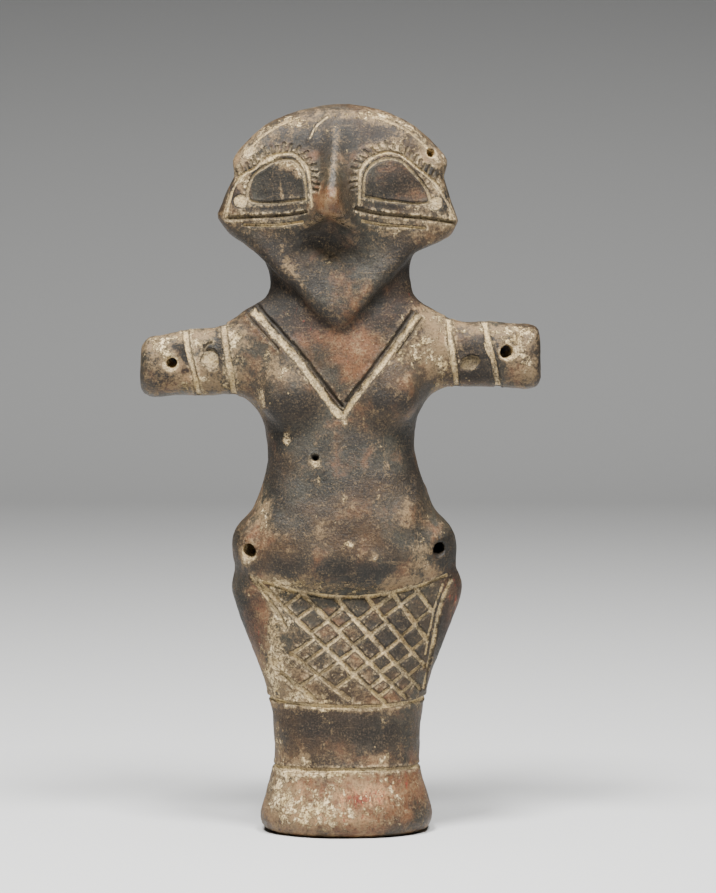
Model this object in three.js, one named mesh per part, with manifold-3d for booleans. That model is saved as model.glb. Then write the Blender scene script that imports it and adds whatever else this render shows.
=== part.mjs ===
// A standing clay figurine: a broad mask of a head on a thick neck, stub arms held out, a narrow waist,
// pierced hip knobs, a belly hanging over an apron of incised lattice, joined legs and a flared foot.
// It is one solid piece.
//
// Sizes are in millimetres. +X is the viewer's right, -Y is the side that the figure faces, +Z is up, and
// the origin is the middle of the sole. The form is a field: a function that is negative inside the clay,
// zero on its skin and about the distance to it outside. The skin is meshed once, then the incised lines
// and the holes are cut from it.

import * as THREE from "three";
import { mergeVertices } from "three/addons/utils/BufferGeometryUtils.js";
import Module from "manifold-3d";

// The body from the sole up: height, half width, depth in front of the axis and depth behind it.
const BODY = {
  below: [-5, 15.2, 13.0, 12.6],
  sole: [0, 18.0, 15.2, 15.0],
  foot: [3.7, 18.8, 16.2, 16.0],
  instep: [8.7, 17.5, 15.0, 15.0],
  heel: [14.7, 16.1, 13.2, 13.3],
  ankle: [19.7, 15.9, 12.7, 13.0],
  hem: [27.7, 16.7, 12.7, 13.4],
  calf: [34.2, 18.5, 12.8, 13.8],
  knee: [40.7, 20.9, 12.7, 14.2],
  thigh: [47.3, 23.5, 12.4, 14.6],
  haunch: [53.7, 25.3, 12.0, 14.6],
  fold: [58.2, 24.0, 11.9, 14.0],
  hip: [62.7, 22.2, 12.0, 13.0],
  loin: [69.2, 20.2, 12.0, 11.6],
  flank: [73.7, 18.6, 11.6, 10.8],
  waist: [80.7, 16.5, 10.8, 10.0],
  midriff: [86.7, 16.4, 10.2, 9.8],
  ribs: [92.7, 17.8, 10.0, 9.9],
  chest: [105, 21.6, 9.8, 10.4],
  shoulder: [112.5, 20.6, 8.8, 10.6],
  collar: [117, 16.3, 8.0, 10.2],
  neck: [121, 15.4, 7.6, 9.9],
  nape: [134.7, 13.0, 5.0, 8.6],
  crown: [143.7, 8.0, 3.0, 5.0],
};
const LIP_LEVEL = 53; // height of the belly's lip over the apron, in the middle
const ARM_LEVEL = 104.7; // height of the arm's middle at its root
const CHIN_LEVEL = 110; // height that everything on the head is measured from

const BODY_ROUNDNESS = 2.3; // exponent of a section: 2 is an ellipse, more is squarer
// The axis leans a little to the viewer's left: height and sideways place.
const LEAN = [
  [0, 0],
  [53.7, 0.2],
  [62.7, -0.7],
  [73.7, -0.5],
  [82.7, -1.1],
  [90.7, -1.4],
  [107.7, -1.1],
  [157.7, -1.5],
];
// The belly: height over its lip and how far it stands out from the body.
const BELLY = [
  [-1.3, 0],
  [0.1, 0.5],
  [2.3, 2.3],
  [5.7, 3.3],
  [10.7, 3.2],
  [17.7, 2.2],
  [26.7, 0.8],
  [35.7, 0],
];
const BELLY_SAG = 3.0; // how much lower the lip hangs in the middle than at the hips
const BELLY_HALF_WIDTH = 22;

// Rounded masses laid on both halves of the body: middle, and half sizes across, in depth and in height.
const BREAST = {
  middle: [10.2, -7.4, ARM_LEVEL - 9.6],
  half: { across: 6.4, deep: 4.3, up: 8, down: 5.4 },
  roundness: 2,
  blend: 3.6,
};
const BUTTOCK = {
  middle: [9.5, 8.5, LIP_LEVEL + 0.7],
  half: { across: 12, deep: 10.5, up: 13, down: 17 },
  roundness: 2,
  blend: 4,
};
const HIP_KNOB = {
  middle: [18.2, -2, LIP_LEVEL + 9.5],
  half: { across: 6.3, deep: 7.4, up: 6.2, down: 5.4 },
  roundness: 2.2,
  blend: 3.2,
};

// The arms, which stand straight out of the shoulders. The one on the viewer's left droops and tapers.
const ARM_REACH = 43.6; // from the axis to the end
const ARM_ROOT = 18; // how far out from the axis the root is
const ARM_HALF_HEIGHT = { left: 7.55, right: 6.6 };
const ARM_HALF_DEPTH = 5.7;
const ARM_ROOT_DROP = { left: 1.2, right: 0 }; // fall at the root under the arm level
const ARM_DROOP = { left: 0.065, right: 0.03 }; // fall for each millimetre of reach
const ARM_TAPER = { left: 0.038, right: -0.027 };
const ARM_ROUNDNESS = 2.5;
const ARM_END_ROUNDING = 3.4;
const ARM_BLEND = 7.5;

// The head is a thick mask: an outline seen from the front, between a modelled face and a domed back.
const HEAD_AXIS = -1.5; // its middle, sideways of the sole's
const DOME_RADIUS = 28.7;
const DOME_TOP = 48.9; // over the chin
// Half outlines below the dome: distance from the head's axis and height over the chin.
const LEFT_OUTLINE = {
  chin: [0.6, 1.6],
  jaw: [12.0, 12.6],
  jaw_root: [17.0, 17.6],
  under_cheek: [22.3, 21.6],
  cheek: [24.9, 24.8],
  notch: [21.3, 33.6],
  ear: [22.4, 37],
  above: [22.4, 58.7],
};
const RIGHT_OUTLINE = {
  chin: [0.6, 1.6],
  jaw: [10.8, 12.4],
  jaw_root: [15.4, 17.6],
  under_cheek: [23.4, 21.2],
  cheek: [24.6, 23.6],
  notch: [21.2, 33.4],
  ear: [22.6, 36.9],
  above: [22.6, 58.7],
};
const OUTLINE_ROUNDING = 1.4;
const HEAD_EDGE_ROUNDING = 3.0;
const MASK_BLEND = { front: 1.0, back: 6.0 }; // how softly the head meets the neck
// Down the middle of the face: height over the chin and depth in front of the axis, without the nose.
const FACE = [
  [-0.3, 10.6],
  [3.7, 11.8],
  [9.7, 11.4],
  [17.7, 10.4],
  [25.7, 11.6],
  [33.7, 11.4],
  [40.7, 9.0],
  [45.7, 5.8],
  [49.7, 2.4],
];
// How fast the face falls back to either side: height over the chin and slope.
const FACE_SLOPE = [
  [1.7, 0.16],
  [11.7, 0.2],
  [21.7, 0.31],
  [37.7, 0.3],
  [49.7, 0.2],
];
const FACE_CREST = 3; // rounding of the middle, where both slopes meet
// The back of the head: height over the chin and depth behind the axis.
const BACK_OF_HEAD = [
  [-0.3, -2],
  [9.7, 0],
  [17.7, 8.6],
  [27.7, 11.4],
  [37.7, 10.2],
  [44.7, 6.2],
  [49.7, 2.0],
];
const BACK_OF_HEAD_REACH = 33; // half width at which the domed back would come to nothing
// The nose is a keel with a spreading cape at its foot: height over the chin and how far each stands out.
const NOSE = [
  [23.8, 0],
  [25.0, 3.6],
  [26.6, 5.9],
  [32, 4.7],
  [37, 3.0],
  [42.2, 1.2],
  [46.5, 0],
];
const NOSE_CAPE = [
  [23.4, 0],
  [25.4, 1.7],
  [28.0, 2.3],
  [33.7, 1.4],
  [41.5, 0],
];
const NOSE_TIP = { x: -3.3, up: 26.8 };
const NOSE_ROOT = { x: -2.3, up: 42.0 };
const NOSE_HALF_WIDTH = 2.0;
const NOSE_FLARE = 0.13; // how much wider the keel gets for each millimetre down from its root
const NOSE_UNDERCUT = 0.5; // how fast the keel's foot falls away to either side
const CAPE_HALF_WIDTH = 7.5;
const CAPE_FALL = 1.0; // how fast the cape's foot falls away to either side
const MOUTH_HOLLOW = { x: -3.0, up: 18.4, across: 8.6, high: 9.2, depth: 2.4 };
const EYE_HOLLOW = { out: 14.2, up: 30.2, across: 9.5, high: 6.2, depth: 0.7 };

// Sections of the incised lines: width at the skin, width of the floor and depth. A fine line has no floor.
const WIDE_LINE = { width: 1.9, floor: 1.1, depth: 0.75 };
const PLAIN_LINE = { width: 1.4, floor: 0.8, depth: 0.65 };
const FINE_LINE = { width: 1.1, floor: 0, depth: 0.65 };
const LINE_LIFT = 0.8; // how far a cut starts above the skin

// Lines on the front, each through a few places: sideways, and height over the arms' level for the
// neckline, over the chin for the face and over the belly's lip for the apron.
const NECKLINE_LEFT = [
  [-19.6, 9.5],
  [-9.1, -1.1],
  [-1.2, -12.7],
];
const NECKLINE_RIGHT = [
  [15.6, 8.5],
  [7.5, -2.4],
  [-0.6, -13.4],
];
const LID_LEFT = [
  [-25.6, 24.4],
  [-19.7, 24.4],
  [-13.1, 24.7],
  [-7.8, 25.8],
];
const LID_RIGHT = [
  [2.4, 26.1],
  [6.9, 25.1],
  [17.8, 24.0],
  [23.5, 23.2],
];
const EYE_LEFT = [
  [-25.4, 26.2],
  [-24.2, 30.3],
  [-21.4, 33.9],
  [-17.9, 36.7],
  [-13.1, 38.2],
  [-9.9, 37.2],
  [-8.1, 33.9],
  [-7.6, 27.4],
];
const EYE_RIGHT = [
  [2.8, 27.6],
  [2.9, 33.5],
  [4.8, 36.7],
  [9.5, 38.5],
  [13.7, 36.7],
  [17.8, 33.5],
  [20.9, 29.8],
  [23.4, 25.2],
];
const PUPIL_LEFT = [
  [-10.4, 36.4],
  [-13.4, 36.6],
  [-17.3, 34.6],
  [-20.3, 31.9],
  [-20.6, 27.6],
  [-15.3, 27.0],
  [-8.9, 28.1],
];
const PUPIL_RIGHT = [
  [11.7, 36.4],
  [14.7, 33.6],
  [17.6, 30.3],
  [17.6, 27.2],
  [10.6, 27.4],
  [4.4, 28.6],
];
const BROW_STROKE = [
  [-7.5, 41],
  [-6.2, 43.4],
  [-4.1, 44.9],
];
const APRON_TOP = [
  [-20.2, 3],
  [-10, 0.4],
  [0, -0.8],
  [11, 0.4],
  [22.2, 3.6],
];
const APRON_LEFT = [
  [-20.6, 3.1],
  [-16.5, -2],
  [-13.6, -6],
  [-14.0, -13],
  [-15.2, -22],
];
const APRON_RIGHT = [
  [23.2, 2.6],
  [21.0, -2.4],
  [19.7, -8],
  [18.8, -13.6],
  [17.2, -21],
];

// The lattice: long slanting lines, each from one place to another, with short strokes across between.
const LATTICE = [
  [-14.1, -17.8, -7.1, -22.9],
  [-12.1, -13.2, 0.5, -22.8],
  [-19.0, 2.2, 8.3, -23.6],
  [-9.7, 0.2, 13.1, -23],
  [-2.1, -1, 16.4, -21.3],
  [4.4, -0.7, 17.5, -16.3],
  [10.4, -0.3, 18.1, -10.7],
  [15.2, 1, 18.7, -4.1],
];
// Where the short strokes start along each line of the lattice, from its upper end to the next line.
const STROKE_STARTS = [
  [4.6],
  [0.3, 3.5, 7.7, 12.2],
  [7.5, 11.4, 15.7, 20, 24.2, 28.4, 33, 35.8],
  [8.1, 11.4, 16, 21, 24.4, 27.9, 30.9],
  [6.6, 10.8, 15.6, 19.6, 23.3],
  [3.1, 5.9, 11.5, 15.5],
  [2.6, 7.7],
];
const STROKE_SLANT = 36; // degrees

// The rings round the legs: height in front and at the sides.
const HEM_RING = { front: 28.4, side: 29.6 };
const ANKLE_RING = { front: 14.7, side: 14.3 };

// The bands over the front of the arms: sideways place at the top and at the bottom.
const ARM_BANDS = [
  [-26.6, -24.4],
  [-35.0, -32.0],
  [22.3, 24.2],
  [30.2, 33.2],
];

// The holes, bored from front to back: place, radius, and how far the bore turns to the right and climbs
// on its way back.
const PERFORATIONS = {
  left_arm: { x: -38.1, z: ARM_LEVEL - 2.1, radius: 1.25, turn: 0, climb: 0 },
  right_arm: { x: 35.0, z: ARM_LEVEL + 0.3, radius: 1.35, turn: 0, climb: 0 },
  left_hip: { x: -21.0, z: LIP_LEVEL + 8.9, radius: 1.5, turn: 18, climb: 14 },
  right_hip: { x: 20.2, z: LIP_LEVEL + 9.3, radius: 1.4, turn: -8, climb: 14 },
  right_ear: { x: HEAD_AXIS + 0.7 * DOME_RADIUS, z: CHIN_LEVEL + 38.4, radius: 0.9, turn: -20, climb: -18 },
};
// Round spots sunk a little into the skin and the pit on the chest: place, radius and depth.
const SPOTS = {
  left_arm: { x: -29.4, z: ARM_LEVEL - 1.3, radius: 2.05, depth: 0.45 },
  right_arm: { x: 27.0, z: ARM_LEVEL - 1.9, radius: 1.9, depth: 0.45 },
  left_cheek: { x: -22.7, z: CHIN_LEVEL + 27.7, radius: 1.6, depth: 0.45 },
  right_cheek: { x: 19.6, z: CHIN_LEVEL + 27.3, radius: 1.6, depth: 0.45 },
  left_ear: { x: -21.0, z: CHIN_LEVEL + 38.8, radius: 1.1, depth: 0.45 },
  chest_pit: { x: -6.7, z: ARM_LEVEL - 22.3, radius: 0.8, depth: 1.6 },
};

// Spacing of the grid that the skin is drawn on: across the body, along the arms, behind the axis, up the
// body, over the lip of the belly and over the head.
const SKIN_STEP = { across: 3.9, arm: 5.2, back: 5.0, up: 4.3, lip: 2.4, head: 2.9 };
const ARMS_FROM = 26;
const LIP_SPAN = { below: 4, above: 7 }; // where that spacing holds, from the lip's level
const LINE_STEP = 4.5; // longest straight piece of an incised line

// A smooth curve through rows of [place, value, ...]: cubic pieces, with slopes taken across neighbours.
function smoothCurve(rows, column = 1) {
  const place = rows.map((row) => row[0]);
  const value = rows.map((row) => row[column]);
  const last = rows.length - 1;
  const slope = rows.map((_, i) => {
    const before = Math.max(i - 1, 0);
    const after = Math.min(i + 1, last);
    return (value[after] - value[before]) / (place[after] - place[before]);
  });
  return (t) => {
    if (t <= place[0]) return value[0];
    if (t >= place[last]) return value[last];
    let i = 0;
    while (t > place[i + 1]) i++;
    const span = place[i + 1] - place[i];
    const u = (t - place[i]) / span;
    const rise = value[i + 1] - value[i];
    const enter = slope[i] * span;
    const leave = slope[i + 1] * span;
    const bend = 3 * rise - 2 * enter - leave + u * (enter + leave - 2 * rise);
    return value[i] + u * (enter + u * bend);
  };
}

// Joins two fields with a fillet of about that size.
function softMin(a, b, blend) {
  const overlap = Math.max(blend - Math.abs(a - b), 0) / blend;
  return Math.min(a, b) - (overlap * overlap * blend) / 4;
}

const softMax = (a, b, blend) => -softMin(-a, -b, blend);

const between = (a, b, share) => a + (b - a) * Math.min(Math.max(share, 0), 1);

// Distance along a ray from the middle to a rounded section of half sizes a and b, negative inside.
function sectionDistance(p, q, a, b, roundness) {
  const share = (Math.abs(p / a) ** roundness + Math.abs(q / b) ** roundness) ** (1 / roundness);
  return share < 1e-6 ? -Math.min(a, b) : Math.hypot(p, q) * (1 - 1 / share);
}

const bodyRows = Object.values(BODY);
const bodyWidth = smoothCurve(bodyRows, 1);
const bodyFront = smoothCurve(bodyRows, 2);
const bodyBack = smoothCurve(bodyRows, 3);
const bellyDepth = smoothCurve(BELLY);
const axisAt = smoothCurve(LEAN);

function bodyField(x, y, z) {
  const across = x - axisAt(z);
  const overLip = z - LIP_LEVEL - BELLY_SAG * (across / BELLY_HALF_WIDTH) ** 2;
  const depth = y < 0 ? bodyFront(z) + bellyDepth(overLip) : bodyBack(z);
  const side = sectionDistance(across, y, bodyWidth(z), depth, BODY_ROUNDNESS);
  return Math.max(side, BODY.below[0] - z, z - BODY.crown[0]);
}

function massField({ middle, half, roundness }, x, y, z) {
  const off = [Math.abs(x - axisAt(middle[2])) - middle[0], y - middle[1], z - middle[2]];
  const shares = [off[0] / half.across, off[1] / half.deep, off[2] / (off[2] > 0 ? half.up : half.down)];
  const sum = shares.reduce((total, share) => total + Math.abs(share) ** roundness, 0);
  const share = sum ** (1 / roundness);
  return share < 1e-6 ? -half.deep : Math.hypot(...off) * (1 - 1 / share);
}

const armOut = (x) => Math.abs(x - axisAt(ARM_LEVEL));
const armSide = (x) => (x < 0 ? "left" : "right");
const armLevel = (x) => {
  const side = armSide(x);
  return ARM_LEVEL - ARM_ROOT_DROP[side] - (armOut(x) - ARM_ROOT) * ARM_DROOP[side];
};

function armField(x, y, z) {
  const side = armSide(x);
  const halfHeight = ARM_HALF_HEIGHT[side] - Math.max(armOut(x) - ARM_ROOT, 0) * ARM_TAPER[side];
  const section = sectionDistance(y, z - armLevel(x), ARM_HALF_DEPTH, halfHeight, ARM_ROUNDNESS);
  return softMax(section, armOut(x) - ARM_REACH, ARM_END_ROUNDING);
}

// The closed outline of one half of the mask, up to the head's axis.
function closedOutline(outline) {
  const half = Object.values(outline);
  return [[0, half[0][1]], ...half, [0, half[half.length - 1][1]]];
}
const leftOutline = closedOutline(LEFT_OUTLINE);
const rightOutline = closedOutline(RIGHT_OUTLINE);

// Signed distance from a place to such an outline.
function outlineDistance(points, x, z) {
  let nearest = Infinity;
  let inside = false;
  points.forEach(([ax, az], i) => {
    const [bx, bz] = points[(i + 1) % points.length];
    if (ax > 0 || bx > 0) {
      const [dx, dz] = [bx - ax, bz - az];
      const along = ((x - ax) * dx + (z - az) * dz) / (dx ** 2 + dz ** 2);
      const t = Math.min(Math.max(along, 0), 1);
      nearest = Math.min(nearest, Math.hypot(x - ax - t * dx, z - az - t * dz));
    }
    if (az > z !== bz > z && x < ax + ((z - az) * (bx - ax)) / (bz - az)) inside = !inside;
  });
  return inside ? -nearest : nearest;
}

const noseMiddle = (up) => {
  const down = (NOSE_ROOT.up - up) / (NOSE_ROOT.up - NOSE_TIP.up);
  return NOSE_ROOT.x + (NOSE_TIP.x - NOSE_ROOT.x) * down;
};
const faceDepth = smoothCurve(FACE);
const faceSlope = smoothCurve(FACE_SLOPE);
const backDepth = smoothCurve(BACK_OF_HEAD);
const noseDepth = smoothCurve(NOSE);
const NOSE_FOOT = NOSE.reduce((far, row) => (row[1] > far[1] ? row : far))[0];
const capeDepth = smoothCurve(NOSE_CAPE);

const mound = (p, q = 0) => Math.exp(-p * p - q * q);

// How far a hollow sinks the face at a height, that far across from the hollow's middle.
const sunk = (hollow, off, up) => hollow.depth * mound(off / hollow.across, (up - hollow.up) / hollow.high);

// The face's distance in front of the axis. Heights on the head are counted from the chin.
function faceSurface(x, up) {
  const across = x - HEAD_AXIS;
  const off = Math.abs(x - noseMiddle(up));
  const keelWidth = NOSE_HALF_WIDTH + NOSE_FLARE * Math.max(NOSE_ROOT.up - up, 0);
  const keel = noseDepth(up + NOSE_UNDERCUT * off) * mound(off / keelWidth);
  const cape = capeDepth(up + CAPE_FALL * off) * mound(off / CAPE_HALF_WIDTH);
  const mouth = sunk(MOUTH_HOLLOW, x - MOUTH_HOLLOW.x, up);
  const eye = sunk(EYE_HOLLOW, Math.abs(across) - EYE_HOLLOW.out, up);
  const fall = faceSlope(up) * (Math.hypot(across, FACE_CREST) - FACE_CREST);
  return faceDepth(up) - fall + keel + cape - mouth - eye;
}

const backSurface = (x, up) => backDepth(up) * (1 - ((x - HEAD_AXIS) / BACK_OF_HEAD_REACH) ** 2);

function headField(x, y, z) {
  const up = z - CHIN_LEVEL;
  const across = Math.abs(x - HEAD_AXIS);
  const dome = Math.hypot(across, up - DOME_TOP + DOME_RADIUS) - DOME_RADIUS;
  const half = x < HEAD_AXIS ? leftOutline : rightOutline;
  const edge = outlineDistance(half, across, up) - OUTLINE_ROUNDING;
  const slab = softMax(-y - faceSurface(x, up), y - backSurface(x, up), HEAD_EDGE_ROUNDING);
  return softMax(slab, softMax(edge, dome, OUTLINE_ROUNDING), HEAD_EDGE_ROUNDING);
}

function clay(x, y, z) {
  const trunk = softMin(bodyField(x, y, z), armField(x, y, z), ARM_BLEND);
  const masses = [BREAST, BUTTOCK, HIP_KNOB];
  const body = masses.reduce((field, mass) => softMin(field, massField(mass, x, y, z), mass.blend), trunk);
  const behind = (y + ARM_HALF_DEPTH) / (2 * ARM_HALF_DEPTH);
  return softMin(body, headField(x, y, z), between(MASK_BLEND.front, MASK_BLEND.back, behind));
}

// The way out of the clay at a point.
function outwardAt(p) {
  const h = 0.05;
  return new THREE.Vector3(
    clay(p.x + h, p.y, p.z) - clay(p.x - h, p.y, p.z),
    clay(p.x, p.y + h, p.z) - clay(p.x, p.y - h, p.z),
    clay(p.x, p.y, p.z + h) - clay(p.x, p.y, p.z - h),
  ).divideScalar(2 * h);
}

// Moves a point onto the skin, and onto the crest of the nose where it is near that.
function settle(p) {
  const up = p.z - CHIN_LEVEL;
  const onNose = p.y < -faceDepth(up) && up > NOSE_FOOT && up < NOSE_ROOT.up;
  if (onNose && Math.abs(p.x - noseMiddle(up)) < SKIN_STEP.across / 2) {
    const crest = up - NOSE_FOOT < SKIN_STEP.head ? NOSE_FOOT : up;
    return p.set(noseMiddle(crest), -faceSurface(noseMiddle(crest), crest), crest + CHIN_LEVEL);
  }
  for (let i = 0; i < 6; i++) {
    const slope = outwardAt(p);
    p.addScaledVector(slope, -clay(p.x, p.y, p.z) / Math.max(slope.lengthSq(), 0.05));
  }
  return p;
}

// The mesh of the skin, on a grid of given lines: one vertex in each cell that the skin passes through,
// and one four-sided face round each grid edge that it crosses.
function skinMesh(lines) {
  const count = lines.map((line) => line.length);
  const stride = [count[1] * count[2], count[2], 1];
  const point = (cell) => lines.map((line, axis) => line[Math.floor(cell / stride[axis]) % count[axis]]);
  const cells = count[0] * stride[0];
  const value = Float64Array.from({ length: cells }, (_, cell) => clay(...point(cell)));

  const positions = [];
  const vertexOfCell = new Map();
  const cornerOf = (c) => (c & 1) * stride[0] + ((c >> 1) & 1) * stride[1] + (c >> 2) * stride[2];
  function vertexOf(cell) {
    if (vertexOfCell.has(cell)) return vertexOfCell.get(cell);
    const sum = new THREE.Vector3();
    let crossings = 0;
    for (let c = 0; c < 8; c++) {
      for (let axis = 0; axis < 3; axis++) {
        if (c & (1 << axis)) continue;
        const a = cell + cornerOf(c);
        const b = cell + cornerOf(c | (1 << axis));
        if (value[a] < 0 === value[b] < 0) continue;
        const from = new THREE.Vector3(...point(a));
        sum.add(from.lerp(new THREE.Vector3(...point(b)), value[a] / (value[a] - value[b])));
        crossings++;
      }
    }
    vertexOfCell.set(cell, positions.length);
    positions.push(settle(sum.divideScalar(crossings)));
    return vertexOfCell.get(cell);
  }

  const faces = [];
  for (let cell = 0; cell < value.length; cell++) {
    for (let axis = 0; axis < 3; axis++) {
      const next = cell + stride[axis];
      if (next >= value.length || value[cell] < 0 === value[next] < 0) continue;
      const back = stride[(axis + 1) % 3];
      const aside = stride[(axis + 2) % 3];
      const ring = [cell, cell - back, cell - back - aside, cell - aside].map(vertexOf);
      if (value[cell] >= 0) ring.reverse();
      const [a, b, c, d] = ring;
      const shortAC = positions[a].distanceTo(positions[c]) < positions[b].distanceTo(positions[d]);
      faces.push(...(shortAC ? [a, b, c, a, c, d] : [a, b, d, b, c, d]));
    }
  }
  return new THREE.BufferGeometry().setFromPoints(positions).setIndex(faces);
}

function evenLines(from, to, step) {
  const steps = Math.ceil((to - from) / step);
  return Array.from({ length: steps + 1 }, (_, i) => from + ((to - from) * i) / steps);
}

const wasm = await Module();
wasm.setup();

function solidOf(geometry) {
  const bare = geometry.clone();
  bare.deleteAttribute("normal");
  bare.deleteAttribute("uv");
  const merged = mergeVertices(bare, 1e-4);
  return new wasm.Manifold(
    new wasm.Mesh({
      numProp: 3,
      vertProperties: merged.attributes.position.array,
      triVerts: new Uint32Array(merged.index.array),
    }),
  );
}

// The skin point that a ray from inside the clay first comes out at.
function skinAlong(from, direction, reach) {
  const ray = new THREE.Ray(from, direction);
  const probe = new THREE.Vector3();
  let inside = 0;
  let outside = reach;
  for (let i = 0; i < 40; i++) {
    const middle = (inside + outside) / 2;
    ray.at(middle, probe);
    if (clay(probe.x, probe.y, probe.z) < 0) inside = middle;
    else outside = middle;
  }
  return probe.clone();
}

const FORWARD = new THREE.Vector3(0, -1, 0);
const frontPoint = (x, z) => skinAlong(new THREE.Vector3(x, 0, z), FORWARD, 26);

// A line on the skin. Its section keeps its back to the way out of the clay.
class SkinLine extends THREE.CatmullRomCurve3 {
  computeFrenetFrames(segments) {
    const shares = Array.from({ length: segments + 1 }, (_, i) => i / segments);
    const tangents = shares.map((share) => this.getTangentAt(share));
    const normals = shares.map((share, i) => {
      const outward = outwardAt(this.getPointAt(share));
      return outward.addScaledVector(tangents[i], -outward.dot(tangents[i])).normalize();
    });
    const binormals = tangents.map((tangent, i) => tangent.clone().cross(normals[i]));
    return { tangents, normals, binormals };
  }
}

// The tool that cuts such a line: a trough with sloping sides.
function trough(points, { width, floor, depth }) {
  const line = new SkinLine(points);
  const steps = Math.max(Math.round(line.getLength() / LINE_STEP), 1);
  const flare = (width - floor) / 2 / depth;
  const top = width / 2 + flare * LINE_LIFT;
  const bottom = floor === 0 ? [0] : [floor / 2, -floor / 2];
  const section = new THREE.Shape([
    new THREE.Vector2(LINE_LIFT, -top),
    new THREE.Vector2(LINE_LIFT, top),
    ...bottom.map((across) => new THREE.Vector2(-depth, across)),
  ]);
  return solidOf(new THREE.ExtrudeGeometry(section, { steps, extrudePath: line }));
}

// A trough along a smooth line through a few places on the front, given from a level.
function frontTrough(places, level, size) {
  const plan = new THREE.SplineCurve(places.map(([x, up]) => new THREE.Vector2(x, level + up)));
  const points = plan.getSpacedPoints(Math.ceil(plan.getLength() / LINE_STEP));
  return trough(
    points.map((place) => frontPoint(place.x, place.y)),
    size,
  );
}

// Half of a ring round the body, from one angle to another, level at the sides and sagging in front.
function ringTrough({ front, side }, from, to, size) {
  const points = evenLines(from, to, Math.PI / 10).map((angle) => {
    const z = side + (front - side) * Math.max(Math.cos(angle), 0);
    const middle = new THREE.Vector3(axisAt(z), 0, z);
    return skinAlong(middle, new THREE.Vector3(Math.sin(angle), -Math.cos(angle), 0), 30);
  });
  return trough(points, size);
}

// A band over the front of an arm, from its top to its bottom.
function bandTrough([top, bottom], size) {
  const points = evenLines(0, Math.PI, Math.PI / 5).map((angle) => {
    const x = between(top, bottom, (1 - Math.cos(angle)) / 2);
    const middle = new THREE.Vector3(x, 0, armLevel(x));
    return skinAlong(middle, new THREE.Vector3(0, -Math.sin(angle), Math.cos(angle)), 12);
  });
  return trough(points, size);
}

// The place where a line from one place at a slant meets a line of the lattice.
function meeting(x, up, slant, [ax, aUp, bx, bUp]) {
  const along = new THREE.Vector2(Math.cos(slant), Math.sin(slant));
  const span = new THREE.Vector2(bx - ax, bUp - aUp);
  const share = ((x - ax) * along.y - (up - aUp) * along.x) / span.cross(along);
  return { x: ax + span.x * share, up: aUp + span.y * share };
}

// The short strokes from one line of the lattice to the next, each at the same slant.
function strokesBetween(lower, upper, starts) {
  const [ax, aUp, bx, bUp] = lower;
  const length = Math.hypot(bx - ax, bUp - aUp);
  const slant = THREE.MathUtils.degToRad(STROKE_SLANT);
  return starts.map((along) => {
    const x = ax + ((bx - ax) * along) / length;
    const up = aUp + ((bUp - aUp) * along) / length;
    const end = meeting(x, up, slant, upper);
    return [[x, up], [end.x, end.up]];
  });
}

// A bore from front to back, and a round spot sunk into the skin.
function bore({ x, z, radius, turn, climb }) {
  const tool = new THREE.CylinderGeometry(radius, radius, 54, 12);
  tool.rotateX(THREE.MathUtils.degToRad(climb)).rotateZ(-THREE.MathUtils.degToRad(turn));
  return solidOf(tool.translate(x, frontPoint(x, z).y, z));
}

function spot({ x, z, radius, depth }) {
  const place = frontPoint(x, z);
  const outward = outwardAt(place).normalize();
  const tool = new THREE.CylinderGeometry(radius, radius, depth + 1.5, 12).translate(0, (1.5 - depth) / 2, 0);
  const turn = new THREE.Quaternion().setFromUnitVectors(new THREE.Vector3(0, 1, 0), outward);
  return solidOf(tool.applyQuaternion(turn).translate(place.x, place.y, place.z));
}

const lipFrom = LIP_LEVEL - LIP_SPAN.below;
const lipTo = LIP_LEVEL + LIP_SPAN.above;
const gridLines = [
  [
    ...evenLines(-ARM_REACH - 3, -ARMS_FROM - SKIN_STEP.arm, SKIN_STEP.arm),
    ...evenLines(-ARMS_FROM, ARMS_FROM, SKIN_STEP.across).map((x) => x + SKIN_STEP.across / 2),
    ...evenLines(ARMS_FROM + SKIN_STEP.arm, ARM_REACH + 3, SKIN_STEP.arm),
  ],
  [...evenLines(-22, 2, SKIN_STEP.across), ...evenLines(2 + SKIN_STEP.back, 22, SKIN_STEP.back)],
  [
    ...evenLines(BODY.below[0] - 2, lipFrom - SKIN_STEP.up, SKIN_STEP.up),
    ...evenLines(lipFrom, lipTo, SKIN_STEP.lip),
    ...evenLines(lipTo + SKIN_STEP.up, CHIN_LEVEL - SKIN_STEP.head, SKIN_STEP.up),
    ...evenLines(CHIN_LEVEL, CHIN_LEVEL + DOME_TOP + 3, SKIN_STEP.head),
  ],
];
const skin = solidOf(skinMesh(gridLines));
const underSole = solidOf(new THREE.BoxGeometry(100, 100, 20).translate(0, 0, -10));

const frontLines = [
  [WIDE_LINE, ARM_LEVEL, NECKLINE_LEFT],
  [PLAIN_LINE, ARM_LEVEL, NECKLINE_RIGHT],
  [FINE_LINE, CHIN_LEVEL, LID_LEFT],
  [FINE_LINE, CHIN_LEVEL, LID_RIGHT],
  [FINE_LINE, CHIN_LEVEL, EYE_LEFT],
  [FINE_LINE, CHIN_LEVEL, EYE_RIGHT],
  [FINE_LINE, CHIN_LEVEL, PUPIL_LEFT],
  [FINE_LINE, CHIN_LEVEL, PUPIL_RIGHT],
  [FINE_LINE, CHIN_LEVEL, BROW_STROKE],
  [PLAIN_LINE, LIP_LEVEL, APRON_TOP],
  [PLAIN_LINE, LIP_LEVEL, APRON_LEFT],
  [PLAIN_LINE, LIP_LEVEL, APRON_RIGHT],
  ...LATTICE.map(([ax, aUp, bx, bUp]) => [PLAIN_LINE, LIP_LEVEL, [[ax, aUp], [bx, bUp]]]),
  ...LATTICE.slice(1).flatMap((upper, i) =>
    strokesBetween(LATTICE[i], upper, STROKE_STARTS[i]).map((stroke) => [FINE_LINE, LIP_LEVEL, stroke]),
  ),
];
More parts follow.
